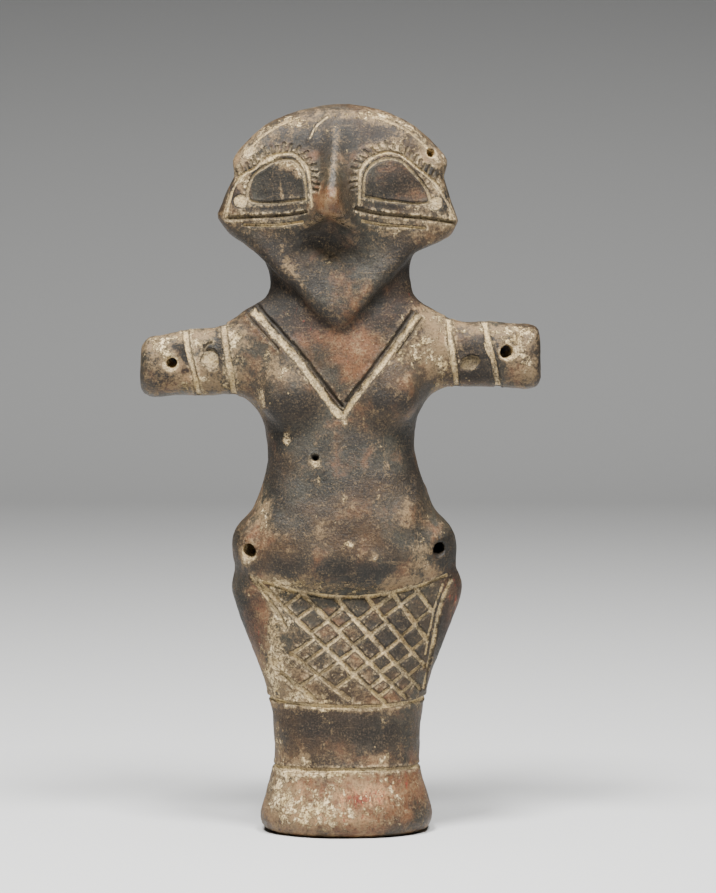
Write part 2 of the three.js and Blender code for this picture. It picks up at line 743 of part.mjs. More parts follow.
const cuts = [
  ...frontLines.map(([size, level, places]) => frontTrough(places, level, size)),
  ...[HEM_RING, ANKLE_RING].flatMap((ring) => [
    ringTrough(ring, -0.1, Math.PI + 0.1, FINE_LINE),
    ringTrough(ring, Math.PI, 2 * Math.PI, FINE_LINE),
  ]),
  ...ARM_BANDS.map((band) => bandTrough(band, PLAIN_LINE)),
  ...Object.values(SPOTS).map(spot),
  ...Object.values(PERFORATIONS).map(bore),
];

// The cuts can leave loose flakes, which are dropped.
const carved = skin.subtract(wasm.Manifold.union([underSole, ...cuts])).decompose();
const figurine = carved.reduce((most, flake) => (flake.volume() > most.volume() ? flake : most));

function meshOf(name, solid, material) {
  const mesh = solid.getMesh();
  const geometry = new THREE.BufferGeometry();
  geometry.setAttribute("position", new THREE.BufferAttribute(mesh.vertProperties, 3));
  geometry.setIndex(new THREE.BufferAttribute(mesh.triVerts, 1));
  geometry.computeVertexNormals();
  const made = new THREE.Mesh(geometry, material);
  made.name = name;
  return made;
}

const firedClay = new THREE.MeshStandardMaterial({ color: 0x5c4a3c, roughness: 0.62, metalness: 0 });
const group = new THREE.Group();
group.add(meshOf("clay_figurine", figurine, firedClay));
export default group;
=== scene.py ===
"""A standing clay figurine with a mask-like head, stub arms, an incised apron and a flared foot.

Laid out as an add-on and run as a script. Sizes in this file are in millimetres, and are turned
into metres when a mesh is made. +X is the viewer's right, the figure faces -Y, and +Z is up.
"""

import math

import bpy
import numpy as np
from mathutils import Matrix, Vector


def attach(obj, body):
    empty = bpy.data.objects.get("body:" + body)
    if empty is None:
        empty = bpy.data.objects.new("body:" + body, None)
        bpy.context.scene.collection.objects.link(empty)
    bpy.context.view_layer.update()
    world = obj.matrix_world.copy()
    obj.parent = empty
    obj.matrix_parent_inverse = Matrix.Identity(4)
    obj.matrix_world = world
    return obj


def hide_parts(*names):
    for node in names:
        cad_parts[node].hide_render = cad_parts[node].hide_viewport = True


bl_info = {
    "name": "Clay Figurine",
    "version": (1, 0, 0),
    "blender": (4, 5, 0),
    "location": "3D View > Sidebar > Figurine",
    "description": "Carves the figurine's clay and sets its stage",
    "category": "Add Mesh",
}

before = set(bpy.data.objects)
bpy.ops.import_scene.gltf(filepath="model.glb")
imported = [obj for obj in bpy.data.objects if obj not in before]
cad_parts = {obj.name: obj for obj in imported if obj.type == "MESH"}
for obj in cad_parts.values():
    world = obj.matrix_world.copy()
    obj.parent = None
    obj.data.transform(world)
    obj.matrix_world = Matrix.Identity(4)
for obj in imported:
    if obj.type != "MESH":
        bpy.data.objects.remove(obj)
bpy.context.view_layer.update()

MM = 0.001

# The body from the sole up: height, half width, depth in front of the axis and depth behind it.
BODY = (
    (-5, 15.2, 13.0, 12.6),
    (0, 18.0, 15.2, 15.0),
    (3.7, 18.8, 16.2, 16.0),
    (8.7, 17.5, 15.0, 15.0),
    (14.7, 16.1, 13.2, 13.3),
    (19.7, 15.9, 12.7, 13.0),
    (27.7, 16.7, 12.7, 13.4),
    (34.2, 18.5, 12.8, 13.8),
    (40.7, 20.9, 12.7, 14.2),
    (47.3, 23.5, 12.4, 14.6),
    (53.7, 25.3, 12.0, 14.6),
    (58.2, 24.0, 11.9, 14.0),
    (62.7, 22.2, 12.0, 13.0),
    (69.2, 20.2, 12.0, 11.6),
    (73.7, 18.6, 11.6, 10.8),
    (80.7, 16.5, 10.8, 10.0),
    (86.7, 16.4, 10.2, 9.8),
    (92.7, 17.8, 10.0, 9.9),
    (105, 21.6, 9.8, 10.4),
    (112.5, 20.6, 8.8, 10.6),
    (117, 16.3, 8.0, 10.2),
    (121, 15.4, 7.6, 9.9),
    (134.7, 13.0, 5.0, 8.6),
    (143.7, 8.0, 3.0, 5.0),
)
BODY_ROUNDNESS = 2.3
# The axis leans a little to the viewer's left: height and sideways place.
LEAN = (
    (0, 0), (53.7, 0.2), (62.7, -0.7), (73.7, -0.5), (82.7, -1.1), (90.7, -1.4), (107.7, -1.1),
    (157.7, -1.5),
)
LIP_LEVEL = 53.0
ARM_LEVEL = 104.7
CHIN_LEVEL = 110.0
# The belly: height over its lip and how far it stands out.
BELLY = (
    (-1.3, 0), (0.1, 0.5), (2.3, 2.3), (5.7, 3.3), (10.7, 3.2), (17.7, 2.2), (26.7, 0.8), (35.7, 0),
)
BELLY_SAG = 3.0
BELLY_HALF_WIDTH = 22.0

# Rounded masses on both halves: middle, half sizes (across, deep, up, down), roundness and fillet.
BREAST = ((10.2, -7.4, ARM_LEVEL - 9.6), (6.4, 4.3, 8.0, 5.4), 2.0, 3.6)
BUTTOCK = ((9.5, 8.5, LIP_LEVEL + 0.7), (12.0, 10.5, 13.0, 17.0), 2.0, 4.0)
HIP_KNOB = ((18.2, -2.0, LIP_LEVEL + 9.5), (6.3, 7.4, 6.2, 5.4), 2.2, 3.2)

ARM_REACH = 43.6
ARM_ROOT = 18.0
ARM_HALF_HEIGHT = (7.55, 6.6)
ARM_HALF_DEPTH = 5.7
ARM_ROOT_DROP = (1.2, 0.0)
ARM_DROOP = (0.065, 0.03)
ARM_TAPER = (0.038, -0.027)
ARM_ROUNDNESS = 2.5
ARM_END_ROUNDING = 3.4
ARM_BLEND = 7.5

HEAD_AXIS = -1.5
DOME_RADIUS = 28.7
DOME_TOP = 48.9
# Half outlines of the mask under its dome: distance from the head's axis and height over the chin.
LEFT_OUTLINE = (
    (0.6, 1.6), (12.0, 12.6), (17.0, 17.6), (22.3, 21.6), (24.9, 24.8), (21.3, 33.6), (22.4, 37),
    (22.4, 58.7),
)
RIGHT_OUTLINE = (
    (0.6, 1.6), (10.8, 12.4), (15.4, 17.6), (23.4, 21.2), (24.6, 23.6), (21.2, 33.4), (22.6, 36.9),
    (22.6, 58.7),
)
OUTLINE_ROUNDING = 1.4
HEAD_EDGE_ROUNDING = 3.0
MASK_BLEND = (1.0, 6.0)
# Down the middle of the face: height over the chin and depth in front of the axis.
FACE = (
    (-0.3, 10.6), (3.7, 11.8), (9.7, 11.4), (17.7, 10.4), (25.7, 11.6), (33.7, 11.4), (40.7, 9.0),
    (45.7, 5.8), (49.7, 2.4),
)
FACE_SLOPE = ((1.7, 0.16), (11.7, 0.2), (21.7, 0.31), (37.7, 0.3), (49.7, 0.2))
FACE_CREST = 3.0
BACK_OF_HEAD = (
    (-0.3, -2), (9.7, 0), (17.7, 8.6), (27.7, 11.4), (37.7, 10.2), (44.7, 6.2), (49.7, 2.0),
)
BACK_OF_HEAD_REACH = 33.0
NOSE = ((23.8, 0), (25.0, 3.6), (26.6, 5.9), (32, 4.7), (37, 3.0), (42.2, 1.2), (46.5, 0))
NOSE_CAPE = ((23.4, 0), (25.4, 1.7), (28.0, 2.3), (33.7, 1.4), (41.5, 0))
NOSE_TIP = (-3.3, 26.8)
NOSE_ROOT = (-2.3, 42.0)
NOSE_HALF_WIDTH = 2.0
NOSE_FLARE = 0.13
NOSE_UNDERCUT = 0.5
CAPE_HALF_WIDTH = 7.5
CAPE_FALL = 1.0
# Hollows of the face: middle, half sizes across and in height, and depth.
MOUTH_HOLLOW = ((-3.0, 18.4), (8.6, 9.2), 2.4)
EYE_HOLLOW = ((14.2, 30.2), (9.5, 6.2), 0.7)

FOOT_ROUNDING = 2.4

# Incised lines: width at the skin, width of the floor, depth, and how full of paste they are.
WIDE_LINE = (2.1, 1.3, 0.5, 1.0)
PLAIN_LINE = (1.5, 0.8, 0.5, 1.0)
LATTICE_LINE = (1.35, 0.7, 0.5, 1.0)
SLIM_LINE = (1.05, 0.5, 0.4, 1.0)
CUT_LINE = (0.6, 0.15, 0.35, 0.25)
GROOVE_LINE = (0.9, 0.3, 0.5, 0.12)
NICK_LINE = (0.55, 0.15, 0.2, 1.0)
SOFT_LINE = (0.9, 0.3, 0.4, 0.35)
LID_LINE = (1.0, 0.3, 0.5, 0.3)
EYE_LINE = (0.9, 0.35, 0.35, 0.9)
ISLAND_LINE = (0.8, 0.3, 0.25, 0.6)
HAIR_LINE = (0.8, 0.25, 0.35, 1.0)
LASH_LINE = (0.55, 0.15, 0.28, 0.35)

# Lines on the front, each through a few places: sideways and height.
NECKLINE = (
    (WIDE_LINE, ((-20.2, 114.0), (-15.6, 109.2), (-10.2, 103.4), (-5.8, 97.6), (-1.7, 91.9))),
    (GROOVE_LINE, ((-19.0, 114.9), (-14.4, 110.0), (-9.1, 104.2), (-4.6, 98.4), (-0.8, 93.6))),
    (PLAIN_LINE, ((15.6, 113.2), (11.8, 108.0), (7.5, 102.3), (2.9, 96.6), (-0.6, 91.3))),
    (GROOVE_LINE, ((14.5, 113.7), (10.8, 108.6), (6.6, 103.0), (2.1, 97.3), (0.2, 94.6))),
    (CUT_LINE, ((-21.3, 113.0), (-17.5, 108.9), (-14.6, 105.9))),
    (CUT_LINE, ((16.6, 112.6), (13.6, 108.3), (11.2, 105.1))),
)
EYE_ARCHES = (
    ((2.8, 137.3), (2.9, 143.5), (3.5, 145.0), (4.8, 146.7), (6.9, 148.0), (9.5, 148.5))
    + ((12.1, 147.8), (15.6, 145.0), (19.1, 142.2), (20.4, 140.5), (22.2, 137.4), (23.7, 134.4)),
    ((-7.5, 136.9), (-7.7, 139.4), (-8.1, 143.9), (-8.8, 145.7), (-11.0, 148.0), (-13.1, 148.2))
    + ((-15.3, 147.8), (-17.9, 146.7), (-19.7, 145.0), (-22.9, 143.1), (-24.5, 140.3))
    + ((-25.8, 134.6),),
)
LIDS = (
    (LID_LINE, ((2.0, 136.2), (6.9, 135.1), (17.8, 134.0), (23.7, 133.1))),
    (LID_LINE, ((-25.6, 134.2), (-19.7, 134.4), (-13.1, 134.7), (-8.6, 135.6))),
    (HAIR_LINE, ((3.2, 133.7), (9.0, 132.6), (17.0, 132.0))),
    (HAIR_LINE, ((-22.0, 132.7), (-15.0, 132.6), (-9.5, 133.4))),
)
EYE_ISLANDS = (
    ((3.7, 138.8), (3.9, 143.0), (5.6, 145.6), (8.6, 147.0), (11.7, 146.6), (14.7, 143.9))
    + ((17.6, 140.3), (18.0, 137.5), (10.6, 137.7), (3.7, 138.8)),
    ((-8.6, 138.3), (-9.2, 143.6), (-11.0, 146.4), (-13.4, 147.0), (-17.3, 145.4))
    + ((-20.3, 142.9), (-21.0, 138.1), (-15.3, 137.5), (-8.6, 138.3)),
)
BROW = ((NICK_LINE, ((-7.7, 151.5), (-7.0, 153.2), (-5.8, 154.7), (-4.0, 156.0))),)
ARM_HOOKS = (
    (SOFT_LINE, ((-30.7, 105.2), (-30.6, 106.2), (-30.0, 106.8), (-29.3, 107.1))),
    (SOFT_LINE, ((-30.5, 105.4), (-29.8, 105.6), (-28.9, 105.4), (-28.3, 104.9))),
    (NICK_LINE, ((30.2, 107.0), (30.5, 105.6), (31.2, 104.3))),
)
DOME_RIMS = ((14, 52), (-22, -50))
DOME_RIM_INSET = 1.5
APRON_EDGES = (
    (SLIM_LINE, ((-20.2, 56.0), (-10, 53.4), (0, 52.2), (11, 53.4), (22.2, 56.6))),
    (SLIM_LINE, ((-20.6, 56.1), (-16.5, 51), (-14.2, 47.6), (-13.2, 45.6))),
    (PLAIN_LINE, ((23.2, 55.6), (21.0, 50.6), (19.7, 45), (18.8, 39.4), (17.2, 32))),
    (HAIR_LINE, ((21.2, 54.6), (19.6, 50.6), (18.4, 45), (17.5, 39.4))),
)
LATTICE = (
    (-14.1, 35.2, -7.1, 30.1), (-12.1, 39.8, 0.5, 30.2), (-19.0, 55.2, 8.3, 29.4),
    (-9.7, 53.2, 13.1, 30.0), (-2.1, 52.0, 16.4, 31.7), (4.4, 52.3, 17.5, 36.7),
    (10.4, 52.7, 18.1, 42.3), (15.2, 54.0, 18.7, 48.9),
)
# Where the short strokes start along each line of the lattice, from its upper end to the next line.
STROKE_STARTS = (
    (4.6,),
    (0.3, 3.5, 7.7, 12.2),
    (7.5, 11.4, 15.7, 20.0, 24.2, 28.4, 33.0, 35.8),
    (8.1, 11.4, 16.0, 21.0, 24.4, 27.9, 30.9),
    (6.6, 10.8, 15.6, 19.6, 23.3),
    (3.1, 5.9, 11.5, 15.5),
    (2.6, 7.7),
)
STROKE_SLANT = 36.0
RINGS = ((28.4, 29.6), (14.7, 14.3))
ARM_BANDS = ((-26.6, -24.4), (-35.0, -32.0), (22.3, 24.2), (30.2, 33.2))
LASH_SPACING = 1.2
LASH_LENGTH = 1.25
LASH_GAP = 0.6
LASH_LEAN = 0.3

# Bored holes: place, radius, and degrees that the bore turns to the viewer's right and up inwards.
BORES = (
    (-38.1, ARM_LEVEL - 2.1, 1.25, 10.0, 8.0),
    (35.0, ARM_LEVEL + 0.3, 1.35, -10.0, 8.0),
    (-21.0, LIP_LEVEL + 8.9, 1.5, 18.0, 14.0),
    (20.2, LIP_LEVEL + 9.3, 1.4, -8.0, 14.0),
    (18.6, CHIN_LEVEL + 38.4, 0.9, -20.0, -18.0),
)
# Spots pressed into the skin: place, half sizes along and across, degrees that they turn, depth,
# and how full of paste they are.
SPOTS = (
    (-29.4, 103.4, 2.1, 2.0, 0, 0.45, 0.75),
    (27.0, 102.8, 2.4, 1.65, 30, 0.5, 0.5),
    (-22.7, 137.7, 1.6, 1.6, 0, 0.18, 0.95),
    (19.6, 137.3, 1.6, 1.6, 0, 0.18, 0.95),
    (-21.0, 148.7, 1.6, 1.3, 40, 0.25, 0.9),
    (-6.7, 82.4, 0.8, 0.8, 0, 1.6, 0.0),
)
SPOT_RIM = 0.4
# How round a bore's worn mouth is.
BORE_WEAR = 0.7

# The mesh: the box of its grid, how far outside a line it is at its finest and how far it is fine,
# its longest edges there, and a length that asks for no split.
GRID_BOX = ((-48, 48), (-23, 24), 163)
LEAST_SQUARED_SLOPE = 0.05
FINEST_MARGIN, FINE_MARGIN, FINE_EDGE, NO_SPLIT = 0.2, 0.9, 0.95, 9.0
SPOT_MARGIN, SPOT_EDGE = 0.4, 1.4
# The lip raised beside a line: its height, how far outside the line it is, and its width.
LINE_LIP = (0.08, 0.3, 0.28)
# The hand's waver, all over, along the lines and on the spots: seed, length of waves and strength.
SKIN_WAVER = ((1, 16.0, 0.16), (2, 6.0, 0.07), (3, 2.4, 0.03))
LINE_WAVER = (50, 5.0, 0.09)
SPOT_WAVER = (90, 2.2, 0.08)
# The waver fades out over this height above the flat sole.
SOLE_FADE = 2.0
# How far apart the field is read to tell how the skin curves.
CURVE_STEP = 0.8

# Where the crust lies, where red shows, and where soot and painted shade darken the clay: sideways,
# height, half width, half height and strength, which is below nothing where the mark is kept away.
CRUST = (
    # On the head.
    (-23, 143, 3, 6, 0.5), (-20, 150, 4, 4, 0.35), (19, 149, 5, 5, 0.6), (22, 140, 3, 6, 0.5),
    (14, 154, 6, 2, 0.55), (-15, 153, 6, 2, 0.5), (3, 156.5, 8, 1.2, 0.6), (-4, 153, 3, 1.2, 0.4),
    (11, 150.5, 4, 1.5, 0.5), (-14, 132.5, 9, 1.5, 0.3), (10, 131.5, 9, 2, 0.45),
    (-12.6, 145.6, 2.4, 1, 1.7), (-10.3, 143.8, 0.9, 1.8, 1.3), (-11.4, 138.9, 2.4, 0.5, 1.2),
    (-13.9, 140.4, 0.4, 2.6, 1.4), (-16.6, 146.6, 2.2, 0.6, 0.9), (-14.2, 127.7, 0.8, 1.6, 0.8),
    (-13.1, 125, 0.8, 1.3, 0.7), (-12.1, 123.2, 1.1, 1.1, 0.9), (-10.7, 121.6, 1, 1, 0.8),
    (-9.4, 120, 0.7, 1, 0.6), (-24.3, 139.6, 0.8, 2.4, -1), (-20.6, 144.6, 1.6, 1.2, -0.6),
    (21.6, 137.9, 0.8, 1.8, -0.8), (17.8, 144.2, 1.8, 1.2, -0.5), (-9, 134.4, 3, 0.5, -0.6),
    (6, 149.6, 3, 0.6, 0.6), (-10, 155.4, 5, 1.1, 0.5), (8, 155.6, 5, 1.2, 0.4),
    (-2, 151.5, 1.5, 3, 0.35),
    # On the arms.
    (-37, 104, 7, 6, 0.42), (-30, 99, 7, 3, 0.5), (-24, 105, 3, 7, 0.4), (36, 108, 8, 3, 0.5),
    (41, 101, 3, 5, 0.35), (41.2, 104, 1.6, 4, 0.2), (-38.1, 102.6, 1.7, 1.7, 1.1),
    (35.6, 104.4, 1.7, 1.6, 1), (-31, 109, 11, 2.2, 0.45), (-41, 106, 2, 4, 0.45),
    (-33.5, 99, 4, 2, 0.5), (-32, 107, 1.2, 2, 0.5), (-29.4, 103.4, 1.5, 1.5, 0.6),
    (27.3, 101.8, 2, 0.8, 0.8), (38.6, 105, 2.2, 4, 0.25), (38.4, 100.6, 1.6, 1.2, 0.5),
    (36, 109.8, 5, 1.3, 0.5), (30, 109.8, 4, 1, 0.5),
    # On the shoulders and the chest.
    (18, 113, 7, 4, 0.8), (12, 105, 5, 3, 0.5), (21, 103, 3, 7, 0.7), (-13.5, 101, 3.6, 2, 0.55),
    (-18.5, 94, 1.3, 4, 0.8), (-16, 104, 2.2, 3, 0.4), (17, 107, 3, 5, 0.35),
    (-0.2, 90, 0.6, 0.8, 1.2),
    # On the trunk.
    (-17.5, 70.5, 2, 4.4, 0.75), (13, 72.5, 1.3, 4.5, 0.45), (-12.9, 86.4, 0.9, 2.6, 0.85),
    (-6.1, 77.4, 0.8, 1.7, 0.9), (-6.6, 81.3, 1.3, 1.1, 1.1), (-0.3, 73.7, 0.7, 0.9, 0.9),
    (-5.5, 67.6, 0.7, 1.6, 0.7), (8.6, 81, 0.8, 3.2, 0.6),
    # On the hips and the belly.
    (-21.5, 60.5, 2.5, 2.5, 0.25), (16, 63, 2, 3, 0.7), (20, 58.5, 4, 2, 0.5),
    (-12, 55.5, 9, 1.8, 0.6), (12, 55.5, 9, 1.8, 0.45), (0, 53.6, 17, 1, 0.3),
    (-21.8, 61.2, 1.3, 1.9, 1.5), (0.7, 63.9, 1.1, 0.8, 1), (6.1, 61.2, 0.8, 1, 1),
    # On the apron and the thighs.
    (-15.5, 47, 3, 8, 0.7), (-15.5, 35, 4, 5, 0.8), (-3, 36, 9, 5, 0.3), (-9, 30.5, 6, 2, 0.6),
    (2, 41, 15, 11, 0.12),
    # On the leg and the foot.
    (-14.6, 20, 1, 5, 0.45), (-8.9, 16.9, 1.5, 1.5, 0.75), (8.1, 16.7, 1.1, 1.2, 0.9),
    (8.1, 25.2, 1.3, 2.4, 0.6), (-5.2, 24.8, 0.6, 2.6, 0.6), (0, 28.9, 18, 0.9, 0.45),
    (0, 14.5, 18, 0.9, 0.5), (-13, 8, 5, 6, 0.5), (-8, 13.6, 8, 0.7, 0.6), (0, 27.8, 15, 0.7, 0.5),
    (-3, 4.5, 7, 2, 0.3), (0, 9, 18, 8, 0.45), (-8, 5, 6, 3, 0.4),
)
RED = (
    # On the head.
    (-3.3, 138.3, 2.3, 3.2, 0.7),
    # On the shoulders and the chest.
    (2, 104, 4, 6, 0.45), (-8, 108, 5, 4, 0.3), (-10, 112.5, 5, 3.5, 0.35), (10.5, 113, 5, 3, 0.35),
    (16, 117, 5, 3, 0.5),
    # On the hips and the belly.
    (-21, 62, 3, 4, 0.35),
    # On the apron and the thighs.
    (-19, 44, 2.5, 9, 0.8), (23.5, 50, 2, 7, 1.1),
    # On the leg and the foot.
    (8.5, 11, 3, 2, 0.45), (3, 8.8, 4.2, 1.6, 1.8), (1, 7, 17, 7, 0.75), (-9, 12, 2.5, 4, 0.4),
    (12, 12, 5, 5, 0.4),
)
SOOT_AND_SHADE = (
    # On the head.
    # (-3, 129.5) darkens the hollow under the nose, partly dark clay and partly painted shade;
    # (-3.3, 125.6) pales its lower part with painted light against its shade.
    (-3, 129.5, 6.5, 5, 0.55), (-3.3, 125.6, 2.4, 2.2, -0.9), (-24.2, 140, 1, 2.4, 1.3),
    (-20.9, 144.6, 1.6, 0.9, 1), (21.9, 138.2, 1, 2, 1.2), (17.6, 144.6, 2, 0.9, 0.9),
    (-15, 136.3, 5, 0.5, 0.7), (8, 136.6, 6, 0.5, 0.6), (-3, 121, 5, 4, 0.3), (-16, 125, 5, 6, 0.5),
    (13, 125, 5, 6, 0.35), (19, 149.2, 1.2, 1.6, 0.9), (-13.5, 141.5, 6, 4.5, 0.55),
    (10.5, 141.5, 6, 4.5, 0.9), (0, 151.5, 16, 4, 0.5), (-17, 126, 4, 5, 0.35),
    (14, 126, 4, 5, 0.3), (-4, 150, 6, 2.5, 0.4), (-15, 151, 4, 2, 0.3), (7, 153, 4, 1.6, 0.4),
    # (-16, 118) darkens the neck under the mask's left jaw: a painted shadow of the head.
    (-23, 139.5, 1.6, 3, 0.5), (-16, 118, 6, 6, 1.2),
    # On the arms.
    (-36.8, 106.4, 1.4, 0.7, 1.5), (-35.4, 105.3, 1, 0.9, 1.5), (-34.5, 103.9, 0.7, 1.1, 1.4),
    (-36.4, 103.9, 0.9, 0.6, 1), (-34.9, 101.2, 1.1, 0.7, 1.2), (-40.6, 102, 1.2, 2.6, 0.5),
    (-36.5, 99.3, 2, 1, 0.7), (-27.4, 105.6, 0.9, 3.6, 0.9), (-30, 100.2, 3, 1.2, 0.6),
    (27.4, 104.5, 3.2, 4.5, 0.4), (-35.6, 105.6, 1.4, 1.6, 1), (-34.6, 101, 1.2, 1, 0.8),
    (-30.2, 105.8, 1.2, 1.2, 0.8), (-38, 99.5, 2.5, 2, 0.5), (27, 105.6, 3.5, 1.6, 0.6),
    (27, 99.5, 5, 2, 0.5), (31, 105.5, 4, 5, 0.6), (42, 103, 3, 6, 0.7), (-41, 100, 3, 4, 0.4),
    # On the shoulders and the chest.
    # The blobs at heights 112 to 117 darken the neck under the jaw: a painted shadow of the head.
    # (-10.3, 94.5) and (9.4, 95) darken the chest under the breasts.
    (-21, 117, 3, 4, 0.5), (9.5, 116, 5, 4, 0.4), (-9.5, 112, 6, 3, 0.4), (-10.3, 94.5, 4, 2.2, 1),
    (9.4, 95, 4.6, 2.4, 1.1), (3, 88, 4, 5, 0.25), (0, 112, 20, 4, 0.5), (14, 117, 6, 6, 0.8),
    # On the trunk.
    # (-15.5, 84) and (15.5, 82) darken the flanks with painted shade.
    (0, 80, 11, 8, 0.25), (4, 72, 6, 6, 0.2), (-15.5, 84, 3, 12, 0.8), (15.5, 82, 3, 12, 0.7),
    # On the hips and the belly.
    # (0, 58.5) darkens the belly's lower curve, where it turns under, with painted shade.
    (-23.5, 63, 2, 3.5, 0.5), (20.4, 62.6, 2, 2, 1), (0, 58.5, 12, 2.6, 0.9), (24, 60, 3, 5, 0.6),
    (22.5, 61, 3, 4, 0.6),
    # On the apron and the thighs.
    (23, 46, 3.5, 10, 0.5), (8, 43, 11, 9, 0.35), (-22, 47, 4, 10, 0.5), (24, 42, 4, 12, 0.5),
    # On the leg and the foot.
    (8, 22, 10, 5, 0.35), (-6, 24, 8, 5, 0.5),
)
# The crust round the eyes: strength and width of the bell, and how bare the islands inside are.
EYE_HALO = (0.6, 1.15, 0.3)

# The sweep: the floor's front, where it starts to bend, its bend, the wall's top, half the width.
SWEEP_FRONT, SWEEP_FOOT, SWEEP_BEND, SWEEP_TOP, SWEEP_HALF = -2500, 900, 500.0, 2600, 2600
# The height over which the floor's colour turns to the wall's.
GRADE_HEIGHT = 420.0
# The soft lights: name, place, width and watts.
LAMPS = (
    ("soft_left", (-150, -300, 720), 200, 13.5),
    ("soft_right", (190, -310, 710), 200, 9.5),
    ("soft_top", (0, 40, 850), 320, 2.0),
)
LAMP_TARGET = (0, 0, 85.0)
ROOM_COLOUR = (0.9, 0.9, 0.9, 1)
ROOM_GLOW = 0.035
# The camera: focal length, sensor, distance, degrees that it looks down, and what it looks at.
FOCAL_LENGTH, SENSOR_WIDTH, CAMERA_DISTANCE, CAMERA_TILT = 165.75, 36.0, 900, 3.8
CAMERA_TARGET = (2.63, 0, 84.2)


def smooth_curve(rows, column=1):
    """A smooth curve through rows of (place, value, ...): a cubic between neighbours, whose slope
    at a row is the rise over the run from the row before it to the row after it."""
    table = np.array(rows, float)
    place, value = table[:, 0], table[:, column]
    row = np.arange(len(place))
    before, after = np.maximum(row - 1, 0), np.minimum(row + 1, len(row) - 1)
    slope = (value[after] - value[before]) / (place[after] - place[before])

    def curve(t):
        t = np.clip(t, place[0], place[-1])
        i = np.clip(np.searchsorted(place, t) - 1, 0, len(place) - 2)
        span = place[i + 1] - place[i]
        u = (t - place[i]) / span
        rise = value[i + 1] - value[i]
        enter, leave = slope[i] * span, slope[i + 1] * span
        bend = 3 * rise - 2 * enter - leave + u * (enter + leave - 2 * rise)
        return value[i] + u * (enter + u * bend)

    return curve


def soft_min(a, b, blend):
    """The lesser of two fields, with a fillet: a square of their overlap is taken off."""
    overlap = np.maximum(blend - np.abs(a - b), 0) / blend
    return np.minimum(a, b) - overlap * overlap * blend / 4


def soft_max(a, b, blend):
    """The greater of two fields, with the same fillet."""
    return -soft_min(-a, -b, blend)


def section_distance(p, q, a, b, roundness):
    """Distance along a ray from the middle to a rounded section: |p/a|^n + |q/b|^n = 1."""
    share = (np.abs(p / a) ** roundness + np.abs(q / b) ** roundness) ** (1 / roundness)
    return np.hypot(p, q) * (1 - 1 / np.maximum(share, 1e-6))


axis_at = smooth_curve(LEAN)
body_width = smooth_curve(BODY, 1)
body_front = smooth_curve(BODY, 2)
body_back = smooth_curve(BODY, 3)
belly_depth = smooth_curve(BELLY)
face_depth = smooth_curve(FACE)
face_slope = smooth_curve(FACE_SLOPE)
back_depth = smooth_curve(BACK_OF_HEAD)
nose_depth = smooth_curve(NOSE)
cape_depth = smooth_curve(NOSE_CAPE)


def body_field(x, y, z):
    """A rounded section at each height, deeper in front by the belly, whose lip sags."""
    across = x - axis_at(z)
    over_lip = z - LIP_LEVEL - BELLY_SAG * (across / BELLY_HALF_WIDTH) ** 2
    depth = np.where(y < 0, body_front(z) + belly_depth(over_lip), body_back(z))
    side = section_distance(across, y, body_width(z), depth, BODY_ROUNDNESS)
    return np.maximum(side, z - BODY[-1][0])


def mass_field(mass, x, y, z):
    """A rounded mass on either side, where its three shares to the power of its roundness sum to
    less than 1."""
    (middle_x, middle_y, middle_z), (across, deep, up, down), roundness, _ = mass
    off_x = np.abs(x - axis_at(middle_z)) - middle_x
    off_y, off_z = y - middle_y, z - middle_z
    total = np.abs(off_x / across) ** roundness + np.abs(off_y / deep) ** roundness
    total = total + np.abs(off_z / np.where(off_z > 0, up, down)) ** roundness
    share = np.maximum(total ** (1 / roundness), 1e-6)
    return np.sqrt(off_x**2 + off_y**2 + off_z**2) * (1 - 1 / share)


def arm_level(x):
    """The height of the arms' middle: level at the root, and drooping evenly outwards."""
    out = np.abs(x - axis_at(ARM_LEVEL))
    root = ARM_LEVEL - np.where(x < 0, *ARM_ROOT_DROP)
    return root - (out - ARM_ROOT) * np.where(x < 0, *ARM_DROOP)


def arm_field(x, y, z):
    """A rounded bar through both arms that droops and tapers, with rounded ends."""
    out = np.abs(x - axis_at(ARM_LEVEL))
    taper = np.where(x < 0, *ARM_TAPER)
    half_height = np.where(x < 0, *ARM_HALF_HEIGHT) - np.maximum(out - ARM_ROOT, 0) * taper
    section = section_distance(y, z - arm_level(x), ARM_HALF_DEPTH, half_height, ARM_ROUNDNESS)
    return soft_max(section, out - ARM_REACH, ARM_END_ROUNDING)


def outline_distance(half, x, up):
    """Signed distance in the plane to a closed half outline, less where the place is inside it."""
    points = [(0, half[0][1]), *half, (0, half[-1][1])]
    nearest = np.full(np.shape(x), 1e9)
    inside = np.zeros(np.shape(x), bool)
    for (ax, az), (bx, bz) in zip(points, points[1:] + points[:1]):
        dx, dz = bx - ax, bz - az
        if ax > 0 or bx > 0:
            t = np.clip(((x - ax) * dx + (up - az) * dz) / (dx * dx + dz * dz), 0, 1)
            nearest = np.minimum(nearest, np.hypot(x - ax - t * dx, up - az - t * dz))
        if dz:
            inside ^= ((az > up) != (bz > up)) & (x < ax + (up - az) * dx / dz)
    return np.where(inside, -nearest, nearest)


def hollow(shape, off, up):
    """The depth of a hollow: a bell across and in height."""
    (_, middle), (across, high), depth = shape
    return depth * np.exp(-((off / across) ** 2) - ((up - middle) / high) ** 2)


